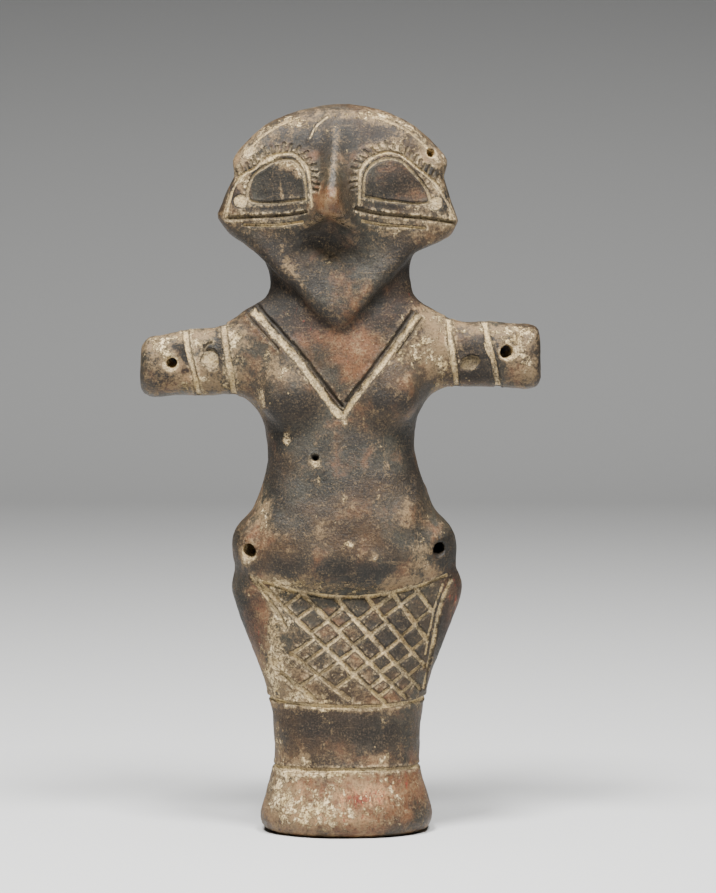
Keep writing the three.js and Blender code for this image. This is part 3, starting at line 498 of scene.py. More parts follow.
def face_surface(x, up):
    """How far the face stands in front of the axis: its middle profile, less a fall to either side,
    plus a keel and a cape for the nose, less the hollows of the mouth and of the eyes."""
    across = x - HEAD_AXIS
    down = (NOSE_ROOT[1] - up) / (NOSE_ROOT[1] - NOSE_TIP[1])
    off = np.abs(x - NOSE_ROOT[0] - (NOSE_TIP[0] - NOSE_ROOT[0]) * down)
    keel_width = NOSE_HALF_WIDTH + NOSE_FLARE * np.maximum(NOSE_ROOT[1] - up, 0)
    keel = nose_depth(up + NOSE_UNDERCUT * off) * np.exp(-((off / keel_width) ** 2))
    cape = cape_depth(up + CAPE_FALL * off) * np.exp(-((off / CAPE_HALF_WIDTH) ** 2))
    mouth = hollow(MOUTH_HOLLOW, x - MOUTH_HOLLOW[0][0], up)
    eye = hollow(EYE_HOLLOW, np.abs(across) - EYE_HOLLOW[0][0], up)
    fall = face_slope(up) * (np.hypot(across, FACE_CREST) - FACE_CREST)
    return face_depth(up) - fall + keel + cape - mouth - eye


def head_field(x, y, z):
    """A mask: inside its outline and under its dome, between the face and the domed back."""
    up = z - CHIN_LEVEL
    across = np.abs(x - HEAD_AXIS)
    dome = np.hypot(across, up - DOME_TOP + DOME_RADIUS) - DOME_RADIUS
    left = outline_distance(LEFT_OUTLINE, across, up)
    right = outline_distance(RIGHT_OUTLINE, across, up)
    edge = np.where(x < HEAD_AXIS, left, right) - OUTLINE_ROUNDING
    back = back_depth(up) * (1 - ((x - HEAD_AXIS) / BACK_OF_HEAD_REACH) ** 2)
    slab = soft_max(-y - face_surface(x, up), y - back, HEAD_EDGE_ROUNDING)
    return soft_max(slab, soft_max(edge, dome, OUTLINE_ROUNDING), HEAD_EDGE_ROUNDING)


def solid_field(x, y, z):
    """The clay without its holes: negative inside, zero on the skin, about the distance outside."""
    field = soft_min(body_field(x, y, z), arm_field(x, y, z), ARM_BLEND)
    for mass in (BREAST, BUTTOCK, HIP_KNOB):
        field = soft_min(field, mass_field(mass, x, y, z), mass[3])
    behind = np.clip((y + ARM_HALF_DEPTH) / (2 * ARM_HALF_DEPTH), 0, 1)
    blend = MASK_BLEND[0] + (MASK_BLEND[1] - MASK_BLEND[0]) * behind
    field = soft_min(field, head_field(x, y, z), blend)
    return soft_max(field, -z, FOOT_ROUNDING)


def clay_field(x, y, z):
    """The solid clay with its bored holes, whose mouths are a little worn."""
    field = solid_field(x, y, z)
    for bore in BORE_AXES:
        field = soft_max(field, -bore_distance(bore, x, y, z), BORE_WEAR)
    return field


def bore_distance(bore, x, y, z):
    """Distance outside a bore's wall: away from its axis, less its radius."""
    (mouth_x, mouth_y, mouth_z), (way_x, way_y, way_z), radius = bore
    x, y, z = x - mouth_x, y - mouth_y, z - mouth_z
    along = x * way_x + y * way_y + z * way_z
    off_x, off_y, off_z = x - along * way_x, y - along * way_y, z - along * way_z
    return np.sqrt(off_x**2 + off_y**2 + off_z**2) - radius


def slopes(field, points, step=0.03):
    """The field's slope at each point, from differences over a small step along each axis."""
    made = np.empty_like(points)
    for axis in range(3):
        ahead, behind = points.copy(), points.copy()
        ahead[:, axis] += step
        behind[:, axis] -= step
        made[:, axis] = (field(*ahead.T) - field(*behind.T)) / (2 * step)
    return made


def settle(field, points, times):
    """Moves points onto the skin: each time by the field's value over its slope, down the slope."""
    for _ in range(times):
        value = field(*points.T)
        slope = slopes(field, points)
        squared = np.maximum((slope**2).sum(1), LEAST_SQUARED_SLOPE)
        points = points - slope * (value / squared)[:, None]
    return points


def outward_from(origins, directions, reach=32.0):
    """The skin along rays from inside the clay: halves the stretch to the air 40 times."""
    inside, outside = np.zeros(len(origins)), np.full(len(origins), reach)
    for _ in range(40):
        middle = (inside + outside) / 2
        within = solid_field(*(origins + directions * middle[:, None]).T) < 0
        inside, outside = np.where(within, middle, inside), np.where(within, outside, middle)
    return origins + directions * inside[:, None]


def front_points(places):
    """The skin straight in front of places (sideways, height), on rays from the middle plane."""
    x, z = np.asarray(places, float).T
    return outward_from(np.stack([x, 0 * x, z], 1), np.array([0.0, -1.0, 0.0]), 26.0)


def bore_axis(x, z, radius, turn, rise):
    """A bore as its mouth on the skin, its way in, of length one, and its radius."""
    way = np.array([math.tan(math.radians(turn)), 1.0, math.tan(math.radians(rise))])
    return front_points([(x, z)])[0], way / np.linalg.norm(way), radius


BORE_AXES = tuple(bore_axis(*bore) for bore in BORES)


def skin_nets(field, lines):
    """A mesh of the field's skin on a grid: a vertex in each cell that the skin crosses, at the
    mean of the crossings on its edges, and two triangles round each grid edge that it crosses."""
    grid = np.stack(np.meshgrid(*lines, indexing="ij"), -1)
    value = np.empty(grid.shape[:3])
    for start in range(0, len(lines[0]), 12):
        part = slice(start, start + 12)
        value[part] = field(*np.moveaxis(grid[part], -1, 0))
    total = np.zeros((value.size, 3))
    crossings = np.zeros(value.size)
    rings = []
    for axis in range(3):
        low, high = [slice(None)] * 3, [slice(None)] * 3
        low[axis], high[axis] = slice(0, -1), slice(1, None)
        a = np.argwhere((value[tuple(low)] < 0) != (value[tuple(high)] < 0))
        b = a + np.eye(3, dtype=int)[axis]
        value_a, value_b = value[tuple(a.T)], value[tuple(b.T)]
        share = (value_a / (value_a - value_b))[:, None]
        crossing = grid[tuple(a.T)] * (1 - share) + grid[tuple(b.T)] * share
        ring = []
        for back, aside in ((0, 0), (1, 0), (1, 1), (0, 1)):
            cell = a.copy()
            cell[:, (axis + 1) % 3] -= back
            cell[:, (axis + 2) % 3] -= aside
            flat = np.ravel_multi_index(tuple(cell.T), value.shape)
            for side in range(3):
                total[:, side] += np.bincount(flat, crossing[:, side], len(total))
            crossings += np.bincount(flat, minlength=len(total))
            ring.append(flat)
        ring = np.stack(ring, 1)
        outward = value_a >= 0
        ring[outward] = ring[outward][:, ::-1]
        rings.append(ring)
    rings = np.concatenate(rings)
    used = np.flatnonzero(crossings)
    number = np.full(len(total), -1)
    number[used] = np.arange(len(used))
    points = total[used] / crossings[used, None]
    a, b, c, d = number[rings].T
    one, other = points[a] - points[c], points[b] - points[d]
    short = np.linalg.norm(one, axis=1) < np.linalg.norm(other, axis=1)
    first = np.where(short[:, None], np.stack([a, b, c], 1), np.stack([a, b, d], 1))
    second = np.where(short[:, None], np.stack([a, c, d], 1), np.stack([b, c, d], 1))
    return points, np.concatenate([first, second])


def split_long_edges(points, faces, wanted):
    """Halves every edge that is longer than the length wanted there. The longest edge of a face
    that has a halved edge is halved too, so that no face gets thin."""
    sides = np.sort(faces[:, [[0, 1], [1, 2], [2, 0]]].reshape(-1, 2), axis=1)
    edges, side = np.unique(sides, axis=0, return_inverse=True)
    side = side.reshape(-1, 3)
    length = np.linalg.norm(points[edges[:, 0]] - points[edges[:, 1]], axis=1)
    halved = length > wanted[edges].min(1)
    first = np.argmax(length[side], axis=1)
    longest = side[np.arange(len(side)), first]
    while True:
        needed = longest[halved[side].any(1)]
        if halved[needed].all():
            break
        halved[needed] = True
    number = np.full(len(edges), -1)
    number[halved] = len(points) + np.arange(halved.sum())
    points = np.concatenate([points, points[edges[halved]].mean(1)])
    turn = (first[:, None] + np.arange(3)) % 3
    a, b, c = np.take_along_axis(faces, turn, 1).T
    ab, bc, ca = np.take_along_axis(number[side], turn, 1).T
    cases = (
        (ab < 0, ((a, b, c),)),
        ((ab >= 0) & (bc < 0) & (ca < 0), ((a, ab, c), (ab, b, c))),
        ((ab >= 0) & (bc >= 0) & (ca < 0), ((a, ab, c), (ab, bc, c), (ab, b, bc))),
        ((ab >= 0) & (bc < 0) & (ca >= 0), ((ab, b, c), (ab, c, ca), (a, ab, ca))),
        ((bc >= 0) & (ca >= 0), ((a, ab, ca), (ab, b, bc), (ca, bc, c), (ab, bc, ca))),
    )
    made = [np.stack(corner, 1)[where] for where, corners in cases for corner in corners]
    return points, np.concatenate(made)


def through(places, spacing=0.8):
    """Evenly spaced places on a smooth curve through a few: a cubic in the length along them."""
    places = np.asarray(places, float)
    along = np.concatenate([[0], np.cumsum(np.linalg.norm(np.diff(places, axis=0), axis=1))])
    t = np.linspace(0, along[-1], max(int(along[-1] / spacing), 1) + 1)
    rows = np.column_stack([along, places])
    if len(places) == 2:
        return places[0] + (places[1] - places[0]) * (t / along[-1])[:, None]
    return np.stack([smooth_curve(rows, column)(t) for column in range(1, rows.shape[1])], 1)


def ring_line(front, side):
    """A ring round the body, level at the sides and back, and sagging in front with the cosine."""
    angle = np.linspace(0, 2 * math.pi, 110)
    level = side + (front - side) * np.maximum(np.cos(angle), 0)
    origins = np.stack([axis_at(level), np.zeros_like(level), level], 1)
    return outward_from(origins, np.stack([np.sin(angle), -np.cos(angle), 0 * angle], 1))


def band_line(top, bottom):
    """A band over the front of an arm, from its top to its bottom."""
    angle = np.linspace(-0.1, math.pi + 0.1, 24)
    x = top + (bottom - top) * (1 - np.cos(angle)) / 2
    origins = np.stack([x, 0 * x, arm_level(x)], 1)
    return outward_from(origins, np.stack([0 * x, -np.sin(angle), np.cos(angle)], 1), 12.0)


def apron_strokes():
    """The short strokes from one line of the lattice to where their slant meets the next."""
    slant = math.radians(STROKE_SLANT)
    way = np.array([math.cos(slant), math.sin(slant)])
    strokes = []
    for lower, upper, starts in zip(LATTICE, LATTICE[1:], STROKE_STARTS):
        start, end = np.array(lower[:2]), np.array(lower[2:])
        corner, span = np.array(upper[:2]), np.array(upper[2:]) - np.array(upper[:2])
        for along in starts:
            foot = start + (end - start) * along / np.linalg.norm(end - start)
            gap = foot - corner
            share = (gap[0] * way[1] - gap[1] * way[0]) / (span[0] * way[1] - span[1] * way[0])
            strokes.append((foot, corner + span * share))
    return strokes


def lashes():
    """Short strokes out of each eye's arch but its ends, evenly spaced, leaning along it, whose
    length goes up and down with a sine."""
    strokes = []
    for arch, outward in zip(EYE_ARCHES, (1, -1)):
        line = through(arch, LASH_SPACING)[3:-7]
        along = np.gradient(line, axis=0)
        along /= np.linalg.norm(along, axis=1)[:, None]
        out = outward * np.stack([-along[:, 1], along[:, 0]], 1) - LASH_LEAN * along
        reach = LASH_LENGTH * (1 + 0.2 * np.sin(2.3 * np.arange(len(line))))
        for root, way, far in zip(line, out, reach):
            strokes.append((root + LASH_GAP * way, root + (LASH_GAP + far) * way))
    return strokes


def dome_rim(start, end):
    """An arc a little inside the top of the mask's outline, between two angles from its top."""
    angle = np.radians(np.linspace(start, end, 20))
    radius = DOME_RADIUS - DOME_RIM_INSET
    middle = CHIN_LEVEL + DOME_TOP - DOME_RADIUS
    return np.stack([HEAD_AXIS + radius * np.sin(angle), middle + radius * np.cos(angle)], 1)


STRAY_LINES = NECKLINE + LIDS + BROW + ARM_HOOKS + APRON_EDGES


def all_lines():
    """Every incised line as its size and its points on the skin."""
    lines = [(size, front_points(through(places))) for size, places in STRAY_LINES]
    lines += [(EYE_LINE, front_points(through(places))) for places in EYE_ARCHES]
    lines += [(ISLAND_LINE, front_points(through(places))) for places in EYE_ISLANDS]
    lines += [(HAIR_LINE, front_points(dome_rim(*arc))) for arc in DOME_RIMS]
    lines += [(LATTICE_LINE, front_points(through((row[:2], row[2:])))) for row in LATTICE]
    lines += [(SLIM_LINE, front_points(through(stroke))) for stroke in apron_strokes()]
    lines += [(LASH_LINE, front_points(through(stroke, 0.5))) for stroke in lashes()]
    lines += [(SLIM_LINE, ring_line(*ring)) for ring in RINGS]
    lines += [(PLAIN_LINE, band_line(*band)) for band in ARM_BANDS]
    return lines


def hand_waver(points, seed, size, strength):
    """A smooth waver in space: a sum of cosines in seeded directions, waves about `size` long."""
    chance = np.random.default_rng(seed)
    waves = chance.normal(size=(14, 3))
    lengths = size * chance.uniform(0.6, 1.7, 14)
    waves *= (2 * math.pi / lengths / np.linalg.norm(waves, axis=1))[:, None]
    return strength * np.cos(points @ waves.T + chance.uniform(0, 6.3, 14)).sum(1) / math.sqrt(7)


def carving(points, lines, near=2.2):
    """For each point: distance outside the nearest line's edge, how deep the lines cut there, how
    full of paste the nearest is and its width. The depth is full over the floor and falls to
    nothing at the edge on a smooth step."""
    edge = np.full(len(points), near)
    depth, fill, size = np.zeros(len(points)), np.ones(len(points)), np.full(len(points), 1.5)
    for number, ((width, floor, deep, full), line) in enumerate(lines):
        low, high = line.min(0) - near - 0.5, line.max(0) + near + 0.5
        close = np.flatnonzero(((points > low) & (points < high)).all(1))
        here = points[close]
        best = np.full(len(close), 1e9)
        for start in range(0, len(line) - 1, 4):
            piece = line[start : start + 5]
            low, high = piece.min(0) - near, piece.max(0) + near
            some = np.flatnonzero(((here > low) & (here < high)).all(1))
            off = here[some][:, None] - piece[:-1]
            span = np.diff(piece, axis=0)
            t = np.clip((off * span).sum(2) / (span * span).sum(1), 0, 1)
            away = np.linalg.norm(off - t[..., None] * span, axis=2).min(1)
            best[some] = np.minimum(best[some], away)
        waver = hand_waver(here, LINE_WAVER[0] + number, *LINE_WAVER[1:])
        wide = width * (1 + waver)
        t = np.clip((wide / 2 - best) / ((width - floor) / 2), 0, 1)
        outside = best - wide / 2
        nearer = outside < edge[close]
        edge[close[nearer]] = outside[nearer]
        fill[close[nearer]] = full
        size[close[nearer]] = width
        depth[close] = np.maximum(depth[close], deep * (1 - waver) * t * t * (3 - 2 * t))
    return edge, depth, fill, size


def spot_marks(points):
    """For each point: distance outside the nearest spot, how deep the spots sink there, and how
    full of paste the nearest is."""
    edge = np.full(len(points), 3.0)
    depth, fill = np.zeros(len(points)), np.ones(len(points))
    middles = front_points([spot[:2] for spot in SPOTS])
    for middle, (_, _, long, short, turn, deep, full) in zip(middles, SPOTS):
        off = points - middle
        turn = math.radians(turn)
        along = off[:, 0] * math.cos(turn) + off[:, 2] * math.sin(turn)
        across = off[:, 2] * math.cos(turn) - off[:, 0] * math.sin(turn)
        away = np.sqrt(along**2 + (across * long / short) ** 2 + off[:, 1] ** 2)
        away -= long * (1 + hand_waver(points, *SPOT_WAVER))
        t = np.clip(-away / SPOT_RIM, 0, 1)
        fill = np.where(away < edge, full, fill)
        edge = np.minimum(edge, away)
        depth = np.maximum(depth, deep * t * t * (3 - 2 * t))
    return edge, depth, fill


def bore_marks(points):
    """Distance outside the nearest bore's wall."""
    return np.min([bore_distance(bore, *points.T) for bore in BORE_AXES], axis=0)


def zone(points, blobs):
    """The sum of soft blobs, each a bell in width and height, fading out towards the back."""
    total = np.zeros(len(points))
    side = np.clip(0.5 - points[:, 1] / 6, 0, 1)
    for x, z, across, high, strength in blobs:
        bell = np.exp(-(((points[:, 0] - x) / across) ** 2) - ((points[:, 2] - z) / high) ** 2)
        total += strength * bell * side
    return total


def eye_halo(points):
    """How strongly the crust gathers round the eyes: a bell in the distance from their outlines,
    and less than none on the dark islands inside."""
    strength, width, bare = EYE_HALO
    total = np.zeros(len(points))
    close = np.flatnonzero((points[:, 2] > CHIN_LEVEL + 15) & (points[:, 1] < 0))
    for places in EYE_ARCHES + EYE_ISLANDS + tuple(line for _, line in LIDS[:2]):
        away = np.full(len(close), 1e9)
        for place in front_points(through(places, 1.0)):
            away = np.minimum(away, np.linalg.norm(points[close] - place, axis=1))
        total[close] = np.maximum(total[close], strength * np.exp(-((away / width) ** 2)))
    for places in EYE_ISLANDS:
        outline = through(places, 0.8)
        middle = outline.mean(0)
        reach = np.linalg.norm(outline - middle, axis=1)
        turn = np.arctan2(*(outline - middle).T)
        order = np.argsort(turn)
        off = points[close][:, (0, 2)] - middle
        rim = np.interp(np.arctan2(*off.T), turn[order], reach[order], period=2 * math.pi)
        inside = np.clip((rim * 1.05 - np.linalg.norm(off, axis=1) + 0.5) / 0.9, 0, 1)
        total[close] -= inside * (total[close] + bare)
    return total


def figurine_mesh(sizes):
    """The clay's skin and its marks: nets on a grid, split finer at the lines, settled on the
    field, then sunk along its normals by the lines and spots, with a slight hand waver all over."""
    step = sizes.skin_step / MM
    across, deep, top = GRID_BOX
    grid = [np.arange(*across, step), np.arange(*deep, step), np.arange(-2 * step, top, step)]
    points, faces = skin_nets(clay_field, grid)
    points = settle(clay_field, points, 3)
    lines = all_lines()
    fine = sizes.line_step / MM
    for _ in range(4):
        edge, _, _, size = carving(points, lines)
        other = np.minimum(spot_marks(points)[0], np.abs(bore_marks(points)))
        wanted = np.where(edge < FINE_MARGIN, FINE_EDGE, NO_SPLIT)
        wanted = np.where(edge < FINEST_MARGIN, fine * np.maximum(size, FINE_EDGE), wanted)
        at_spot = np.where(other < SPOT_MARGIN, SPOT_EDGE * fine, NO_SPLIT)
        wanted = np.minimum(wanted, at_spot)
        points, faces = split_long_edges(points, faces, wanted)
    points = settle(clay_field, points, 2)
    slope = slopes(clay_field, points)
    normals = slope / np.linalg.norm(slope, axis=1)[:, None]

    line_edge, line_depth, line_fill, size = carving(points, lines)
    spot_edge, spot_depth, spot_fill = spot_marks(points)
    bore_edge = np.clip(bore_marks(points), -3, 3)
    fill = np.where(spot_edge < line_edge, spot_fill, line_fill)
    edge = np.minimum(line_edge, spot_edge)
    depth = np.maximum(line_depth, spot_depth)
    lip_height, lip_place, lip_width = LINE_LIP
    lip = lip_height * np.exp(-(((edge - lip_place) / lip_width) ** 2))
    waver = sum(hand_waver(points, *waves) for waves in SKIN_WAVER)
    offset = (waver + lip) * np.clip(points[:, 2] / SOLE_FADE, 0, 1) - depth
    near = CURVE_STEP * np.concatenate([[-axis, axis] for axis in np.eye(3)])
    around = sum(clay_field(*(points + way).T) for way in near)
    marks = {
        "line_edge": np.where(edge < 0, edge * PLAIN_LINE[0] / size, edge),
        "fill": fill,
        "bore_edge": bore_edge,
        "curve": np.clip(around / (CURVE_STEP * CURVE_STEP), -1, 1),
        "crust": zone(points, CRUST) + eye_halo(points),
        "red": zone(points, RED),
        # Soot, and painted shade on the neck, the flanks, the belly's underside and in the hollow
        # under the nose.
        "soot_and_shade": zone(points, SOOT_AND_SHADE),
    }
    points = points + normals * offset[:, None]
    points[:, 2] = np.maximum(points[:, 2], 0)
    return points, faces, marks


def mesh_object(name, points, faces, marks):
    """A mesh object at the origin, in metres, with a number at each vertex for each mark."""
    mesh = bpy.data.meshes.new(name)
    mesh.vertices.add(len(points))
    mesh.vertices.foreach_set("co", (points * MM).astype(np.float32).ravel())
    mesh.loops.add(faces.size)
    mesh.loops.foreach_set("vertex_index", faces.astype(np.int32).ravel())
    mesh.polygons.add(len(faces))
    mesh.polygons.foreach_set("loop_start", np.arange(0, faces.size, 3, dtype=np.int32))
    mesh.polygons.foreach_set("use_smooth", np.ones(len(faces), bool))
    mesh.update(calc_edges=True)
    for mark, values in marks.items():
        layer = mesh.attributes.new(mark, "FLOAT", "POINT")
        layer.data.foreach_set("value", values.astype(np.float32))
    mesh.validate()
    made = bpy.data.objects.new(name, mesh)
    bpy.context.scene.collection.objects.link(made)
    return made


class Amount:
    """A socket's number in an expression. Each operator adds the Math node that it stands for."""

    def __init__(self, bench, socket):
        self.bench = bench
        self.socket = socket

    def math(self, operation, *values):
        """A Math node on this amount and the values."""
        inputs = dict(enumerate((self, *values)))
        made = self.bench.node("ShaderNodeMath", {"operation": operation}, inputs)
        return Amount(self.bench, made.outputs[0])

    def __add__(self, other):
        return self.math("ADD", other)

    __radd__ = __add__

    def __sub__(self, other):
        return self.math("SUBTRACT", other)

    def __rsub__(self, other):
        return (self * -1) + other

    def __mul__(self, other):
        return self.math("MULTIPLY", other)

    __rmul__ = __mul__

    def most(self, other):
        return self.math("MAXIMUM", other)

    def step(self, low, high):
        """0 up to low, 1 from high, and smooth between; high may be the lesser."""
        made = self.bench.node(
            "ShaderNodeMapRange",
            {"interpolation_type": "SMOOTHSTEP"},
            {"Value": self, "From Min": low, "From Max": high, "To Min": 0.0, "To Max": 1.0},
        )
        return Amount(self.bench, made.outputs["Result"])


class Bench:
    """A material's node tree, and the few ways in which nodes are put on it."""

    def __init__(self, name):
        self.material = bpy.data.materials.new(name)
        self.material.use_nodes = True
        self.tree = self.material.node_tree
        self.shader = self.tree.nodes["Principled BSDF"]
        place = self.node("ShaderNodeTexCoord").outputs["Object"]
        self.place = self.node(
            "ShaderNodeVectorMath", {"operation": "SCALE"}, {"Vector": place, "Scale": 1 / MM}
        ).outputs["Vector"]

    def feed(self, socket, value):
        """Gives a socket a link, a colour or another value."""
        if isinstance(value, Amount):
            value = value.socket
        if isinstance(value, bpy.types.NodeSocket):
            self.tree.links.new(value, socket)
        elif socket.type == "RGBA":
            socket.default_value = (*value[:3], 1.0)
        else:
            socket.default_value = value

    def node(self, kind, settings=None, inputs=None):
        """A node: its settings are set first, then each input is given a value or a link."""
        made = self.tree.nodes.new(kind)
        for name, value in (settings or {}).items():
            setattr(made, name, value)
        for name, value in (inputs or {}).items():
            self.feed(made.inputs[name], value)
        return made

    def noise(self, size, detail, rough, contrast=1.0, stretch=(1, 1, 1), shift=0.0, warp=0.0):
        """Cloudy noise about a half, its largest lumps about `size` wide, stretched by axis."""
        scale = tuple(1 / (size * s) for s in stretch)
        place = self.node(
            "ShaderNodeVectorMath",
            {"operation": "MULTIPLY_ADD"},
            {0: self.place, 1: scale, 2: (shift, shift * 0.7, -shift)},
        ).outputs[0]
        inputs = {"Vector": place, "Scale": 1.0, "Detail": detail, "Roughness": rough}
        made = self.node("ShaderNodeTexNoise", {}, {**inputs, "Distortion": warp})
        return (Amount(self, made.outputs["Fac"]) - 0.5) * contrast + 0.5

    def mark(self, name):
        """One of the mesh's marks."""
        made = self.node("ShaderNodeAttribute", {"attribute_name": name})
        return Amount(self, made.outputs["Fac"])

    def blend(self, factor, under, over, kind="MIX"):
        """A colour over another by a factor. Inputs 0, 6 and 7 of the node are for colours."""
        settings = {"data_type": "RGBA", "blend_type": kind}
        return self.node("ShaderNodeMix", settings, {0: factor, 6: under, 7: over}).outputs[2]

    def finish(self, inputs):
        """Feeds the shader and gives the material back."""
        for name, value in inputs.items():
            self.feed(self.shader.inputs[name], value)
        return self.material


def burnished_clay(colours):
    """Burnished dark clay: clouds of brown and grey with red and sooty patches, some of them
    painted shade, worn film and streaks left by the burnishing, creamy stain, red pigment, specks
    and pits, pale paste in the lines, crust where its mark is high, painted shade and dirt in the
    corners of the cuts and in the cuts that hold little paste, and pale rims round the bores."""
    bench = Bench("fired_clay")
    clouds = bench.noise(24, 5, 0.6, warp=0.6)
    patches = bench.noise(8, 7, 0.66, 1.15, shift=7.0, warp=0.3)
    mottle = bench.noise(2.6, 8, 0.72, 1.35, shift=23.0)
    grain = bench.noise(0.9, 6, 0.75, 1.35, shift=3.0)
    fine = bench.noise(0.3, 4, 0.7, shift=5.0)
    speckle = bench.noise(0.4, 3, 0.6, shift=41.0)
    runs = bench.noise(1.3, 5, 0.7, stretch=(0.7, 0.7, 3.0), shift=53.0)
    streaks = bench.noise(1.1, 5, 0.65, stretch=(6, 6, 0.6), shift=11.0)
    edge = bench.mark("line_edge")
    bore = bench.mark("bore_edge")
    curve = bench.mark("curve")
    fill = bench.mark("fill")
    crust_zone = bench.mark("crust")
    red_zone = bench.mark("red")
    soot_and_shade_zone = bench.mark("soot_and_shade")

    # The clay itself, from its clouds to the traces of pigment.
    colour = bench.blend(clouds.step(0.38, 0.6), colours.brown, colours.grey)
    redden = (patches + red_zone * 0.6 + (clouds - 0.5) * 0.4).step(0.52, 0.8)
    colour = bench.blend(redden * 0.8, colour, colours.red)
    # Dark patches: soot, and where the zone mark is high also painted shade on the neck, the
    # flanks, the belly's underside and in the hollow under the nose.
    dark = (mottle * 0.5 + grain * 0.3 + (patches - 0.5) * -0.7 + soot_and_shade_zone * 0.42).step(0.3, 0.68)
    colour = bench.blend(dark * 0.85, colour, colours.soot_and_shade)
    film = mottle * 0.4 + grain * 0.6 + (patches - 0.5) * 0.45 + crust_zone * 0.3 - soot_and_shade_zone * 0.12
    film = (film + curve * 0.12).step(0.53, 0.73)
    colour = bench.blend(film * 0.62, colour, colours.worn)
    scratched = (streaks * 0.7 + fine * 0.3).step(0.56, 0.7)
    colour = bench.blend(scratched * 0.3, colour, colours.worn)
    dotted = (speckle * 0.7 + mottle * 0.3).step(0.5, 0.68)
    colour = bench.blend(dotted * 0.25, colour, colours.worn)
    stain = (crust_zone * 0.35 + red_zone * 0.45 + (patches - 0.5) * 0.5).step(0.3, 0.9)
    stain = stain * (runs * 0.8 + mottle * 0.4).step(0.53, 0.66)
    colour = bench.blend(stain * 0.85, colour, colours.stain)
    pigment = (red_zone * 0.4 + (runs - 0.5) * 3.4 + (grain - 0.5) * 0.9).step(0.6, 0.85)
    colour = bench.blend(pigment * red_zone.step(0.1, 0.6) * 0.85, colour, colours.pigment)

    flecks = bench.noise(1.7, 3, 0.6, shift=31.0)
    speck = (flecks + (fine - 0.5) * 0.15).step(0.7, 0.76)
    pits = (flecks + (fine - 0.5) * 0.15).step(0.3, 0.25)
    colour = bench.blend(speck * 0.55, colour, colours.crust)

    # What lies on it: crust, paste in the lines and dust beside them.
    crust = bench.noise(3.6, 10, 0.78, 1.5, shift=17.0, warp=0.25)
    crust = crust + crust_zone * 0.36 + (grain - 0.5) * 0.35 + (fine - 0.5) * 0.2 - soot_and_shade_zone * 0.16
    crust = crust + (runs - 0.5) * red_zone * 0.9 - (patches - 0.5) * crust_zone * 0.9
    crust = crust.step(0.7, 0.82) * (0.4 + (grain * 0.6 + speckle * 0.5).step(0.45, 0.6) * 0.6)
    paste_edge = edge + (grain - 0.5) * 0.5 + (mottle - 0.5) * 0.3
    worn_paste = (mottle * 0.8 + grain * 0.8).step(1.0, 0.72)
    paste = paste_edge.step(-0.05, -0.3) * (0.12 + worn_paste * 0.88) * fill
    dusty = grain * 0.6 + mottle * 0.4 + crust_zone * 0.2 - soot_and_shade_zone * 0.15
    dust = edge.step(0.9, 0.0) * dusty.step(0.48, 0.72) * 0.6
    pale = crust.most(paste).most(dust)
    cream = bench.blend(mottle.step(0.35, 0.65), colours.crust, colours.paste)
    cream = bench.blend(patches.step(0.5, 0.38) * 0.5, cream, colours.worn)
    thin = (grain * 0.5 + speckle * 0.5).step(0.53, 0.43)
    cream = bench.blend(thin * 0.65, cream, colours.worn)
    colour = bench.blend(pale, colour, cream)
    # Painted shade and dirt in the corners of the cuts and in the cuts and spots that hold little
    # paste, the dark pits, and the bores' rims.
    corner = (edge + 0.1 + (grain - 0.5) * 0.5).math("ABSOLUTE").step(0.34, 0.08)
    corner = corner * (patches * 0.5 + mottle * 0.7).step(0.5, 0.7)
    unfilled = edge.step(0.1, -0.15) * (1 - fill)
    colour = bench.blend((corner * 0.65).most(unfilled * 0.85), colour, colours.soot_and_shade)
    colour = bench.blend(pits * 0.8, colour, colours.soot_and_shade)
    rim = ((bore - 0.1).math("ABSOLUTE") + (grain - 0.5) * 0.8).step(0.6, 0.15)
    rim = rim * (crust_zone - soot_and_shade_zone * 0.5 + (mottle - 0.5) * 1.5).step(0.0, 0.4)
    colour = bench.blend(rim * 0.8, colour, cream)
    speckled = (speckle * 0.7 + fine * 0.3).step(0.5, 0.39)
    colour = bench.blend(speckled * 0.6, colour, (0.3, 0.28, 0.26), "MULTIPLY")

    rough = 0.52 + pale * 0.33 + (grain - 0.5) * 0.35 + film * 0.15 - curve.most(0.0) * 0.3
    rough = rough + soot_and_shade_zone * 0.18
    height = pale * 0.2 + grain * 0.17 + speckle * 0.1 + mottle * 0.12 + streaks * 0.04 - pits * 0.1
    height = height - corner * 0.12
    bump = bench.node("ShaderNodeBump", {}, {"Strength": 1.0, "Distance": MM, "Height": height})
    look = {"Base Color": colour, "Roughness": rough, "Specular IOR Level": 0.3}
    return bench.finish({**look, "Normal": bump.outputs["Normal"]})


def graded_finish(name, floor, wall):
    """A matt finish for the stage: the floor's colour, which turns to the wall's with height."""
    bench = Bench(name)
    height = bench.node("ShaderNodeSeparateXYZ", {}, {0: bench.place}).outputs["Z"]
    rise = Amount(bench, height).step(0.0, GRADE_HEIGHT)
    return bench.finish({"Base Color": bench.blend(rise, floor, wall), "Roughness": 0.8})


def colour_property(name, description, default):
    """A colour that a user can change."""
    return bpy.props.FloatVectorProperty(
        name=name, description=description, default=default, subtype="COLOR", size=3, min=0, max=1
    )


class FigurineSizes(bpy.types.PropertyGroup):
    """How fine the clay's mesh is"""

    skin_step: bpy.props.FloatProperty(
        name="Skin step",
        description="Spacing of the grid that the clay's skin is meshed on",
        default=1.15 * MM,
        unit="LENGTH",
        precision=5,
    )
    line_step: bpy.props.FloatProperty(
        name="Line step",
        description="Longest edge of the mesh inside a line one millimetre wide",
        default=0.3 * MM,
        unit="LENGTH",
        precision=5,
    )


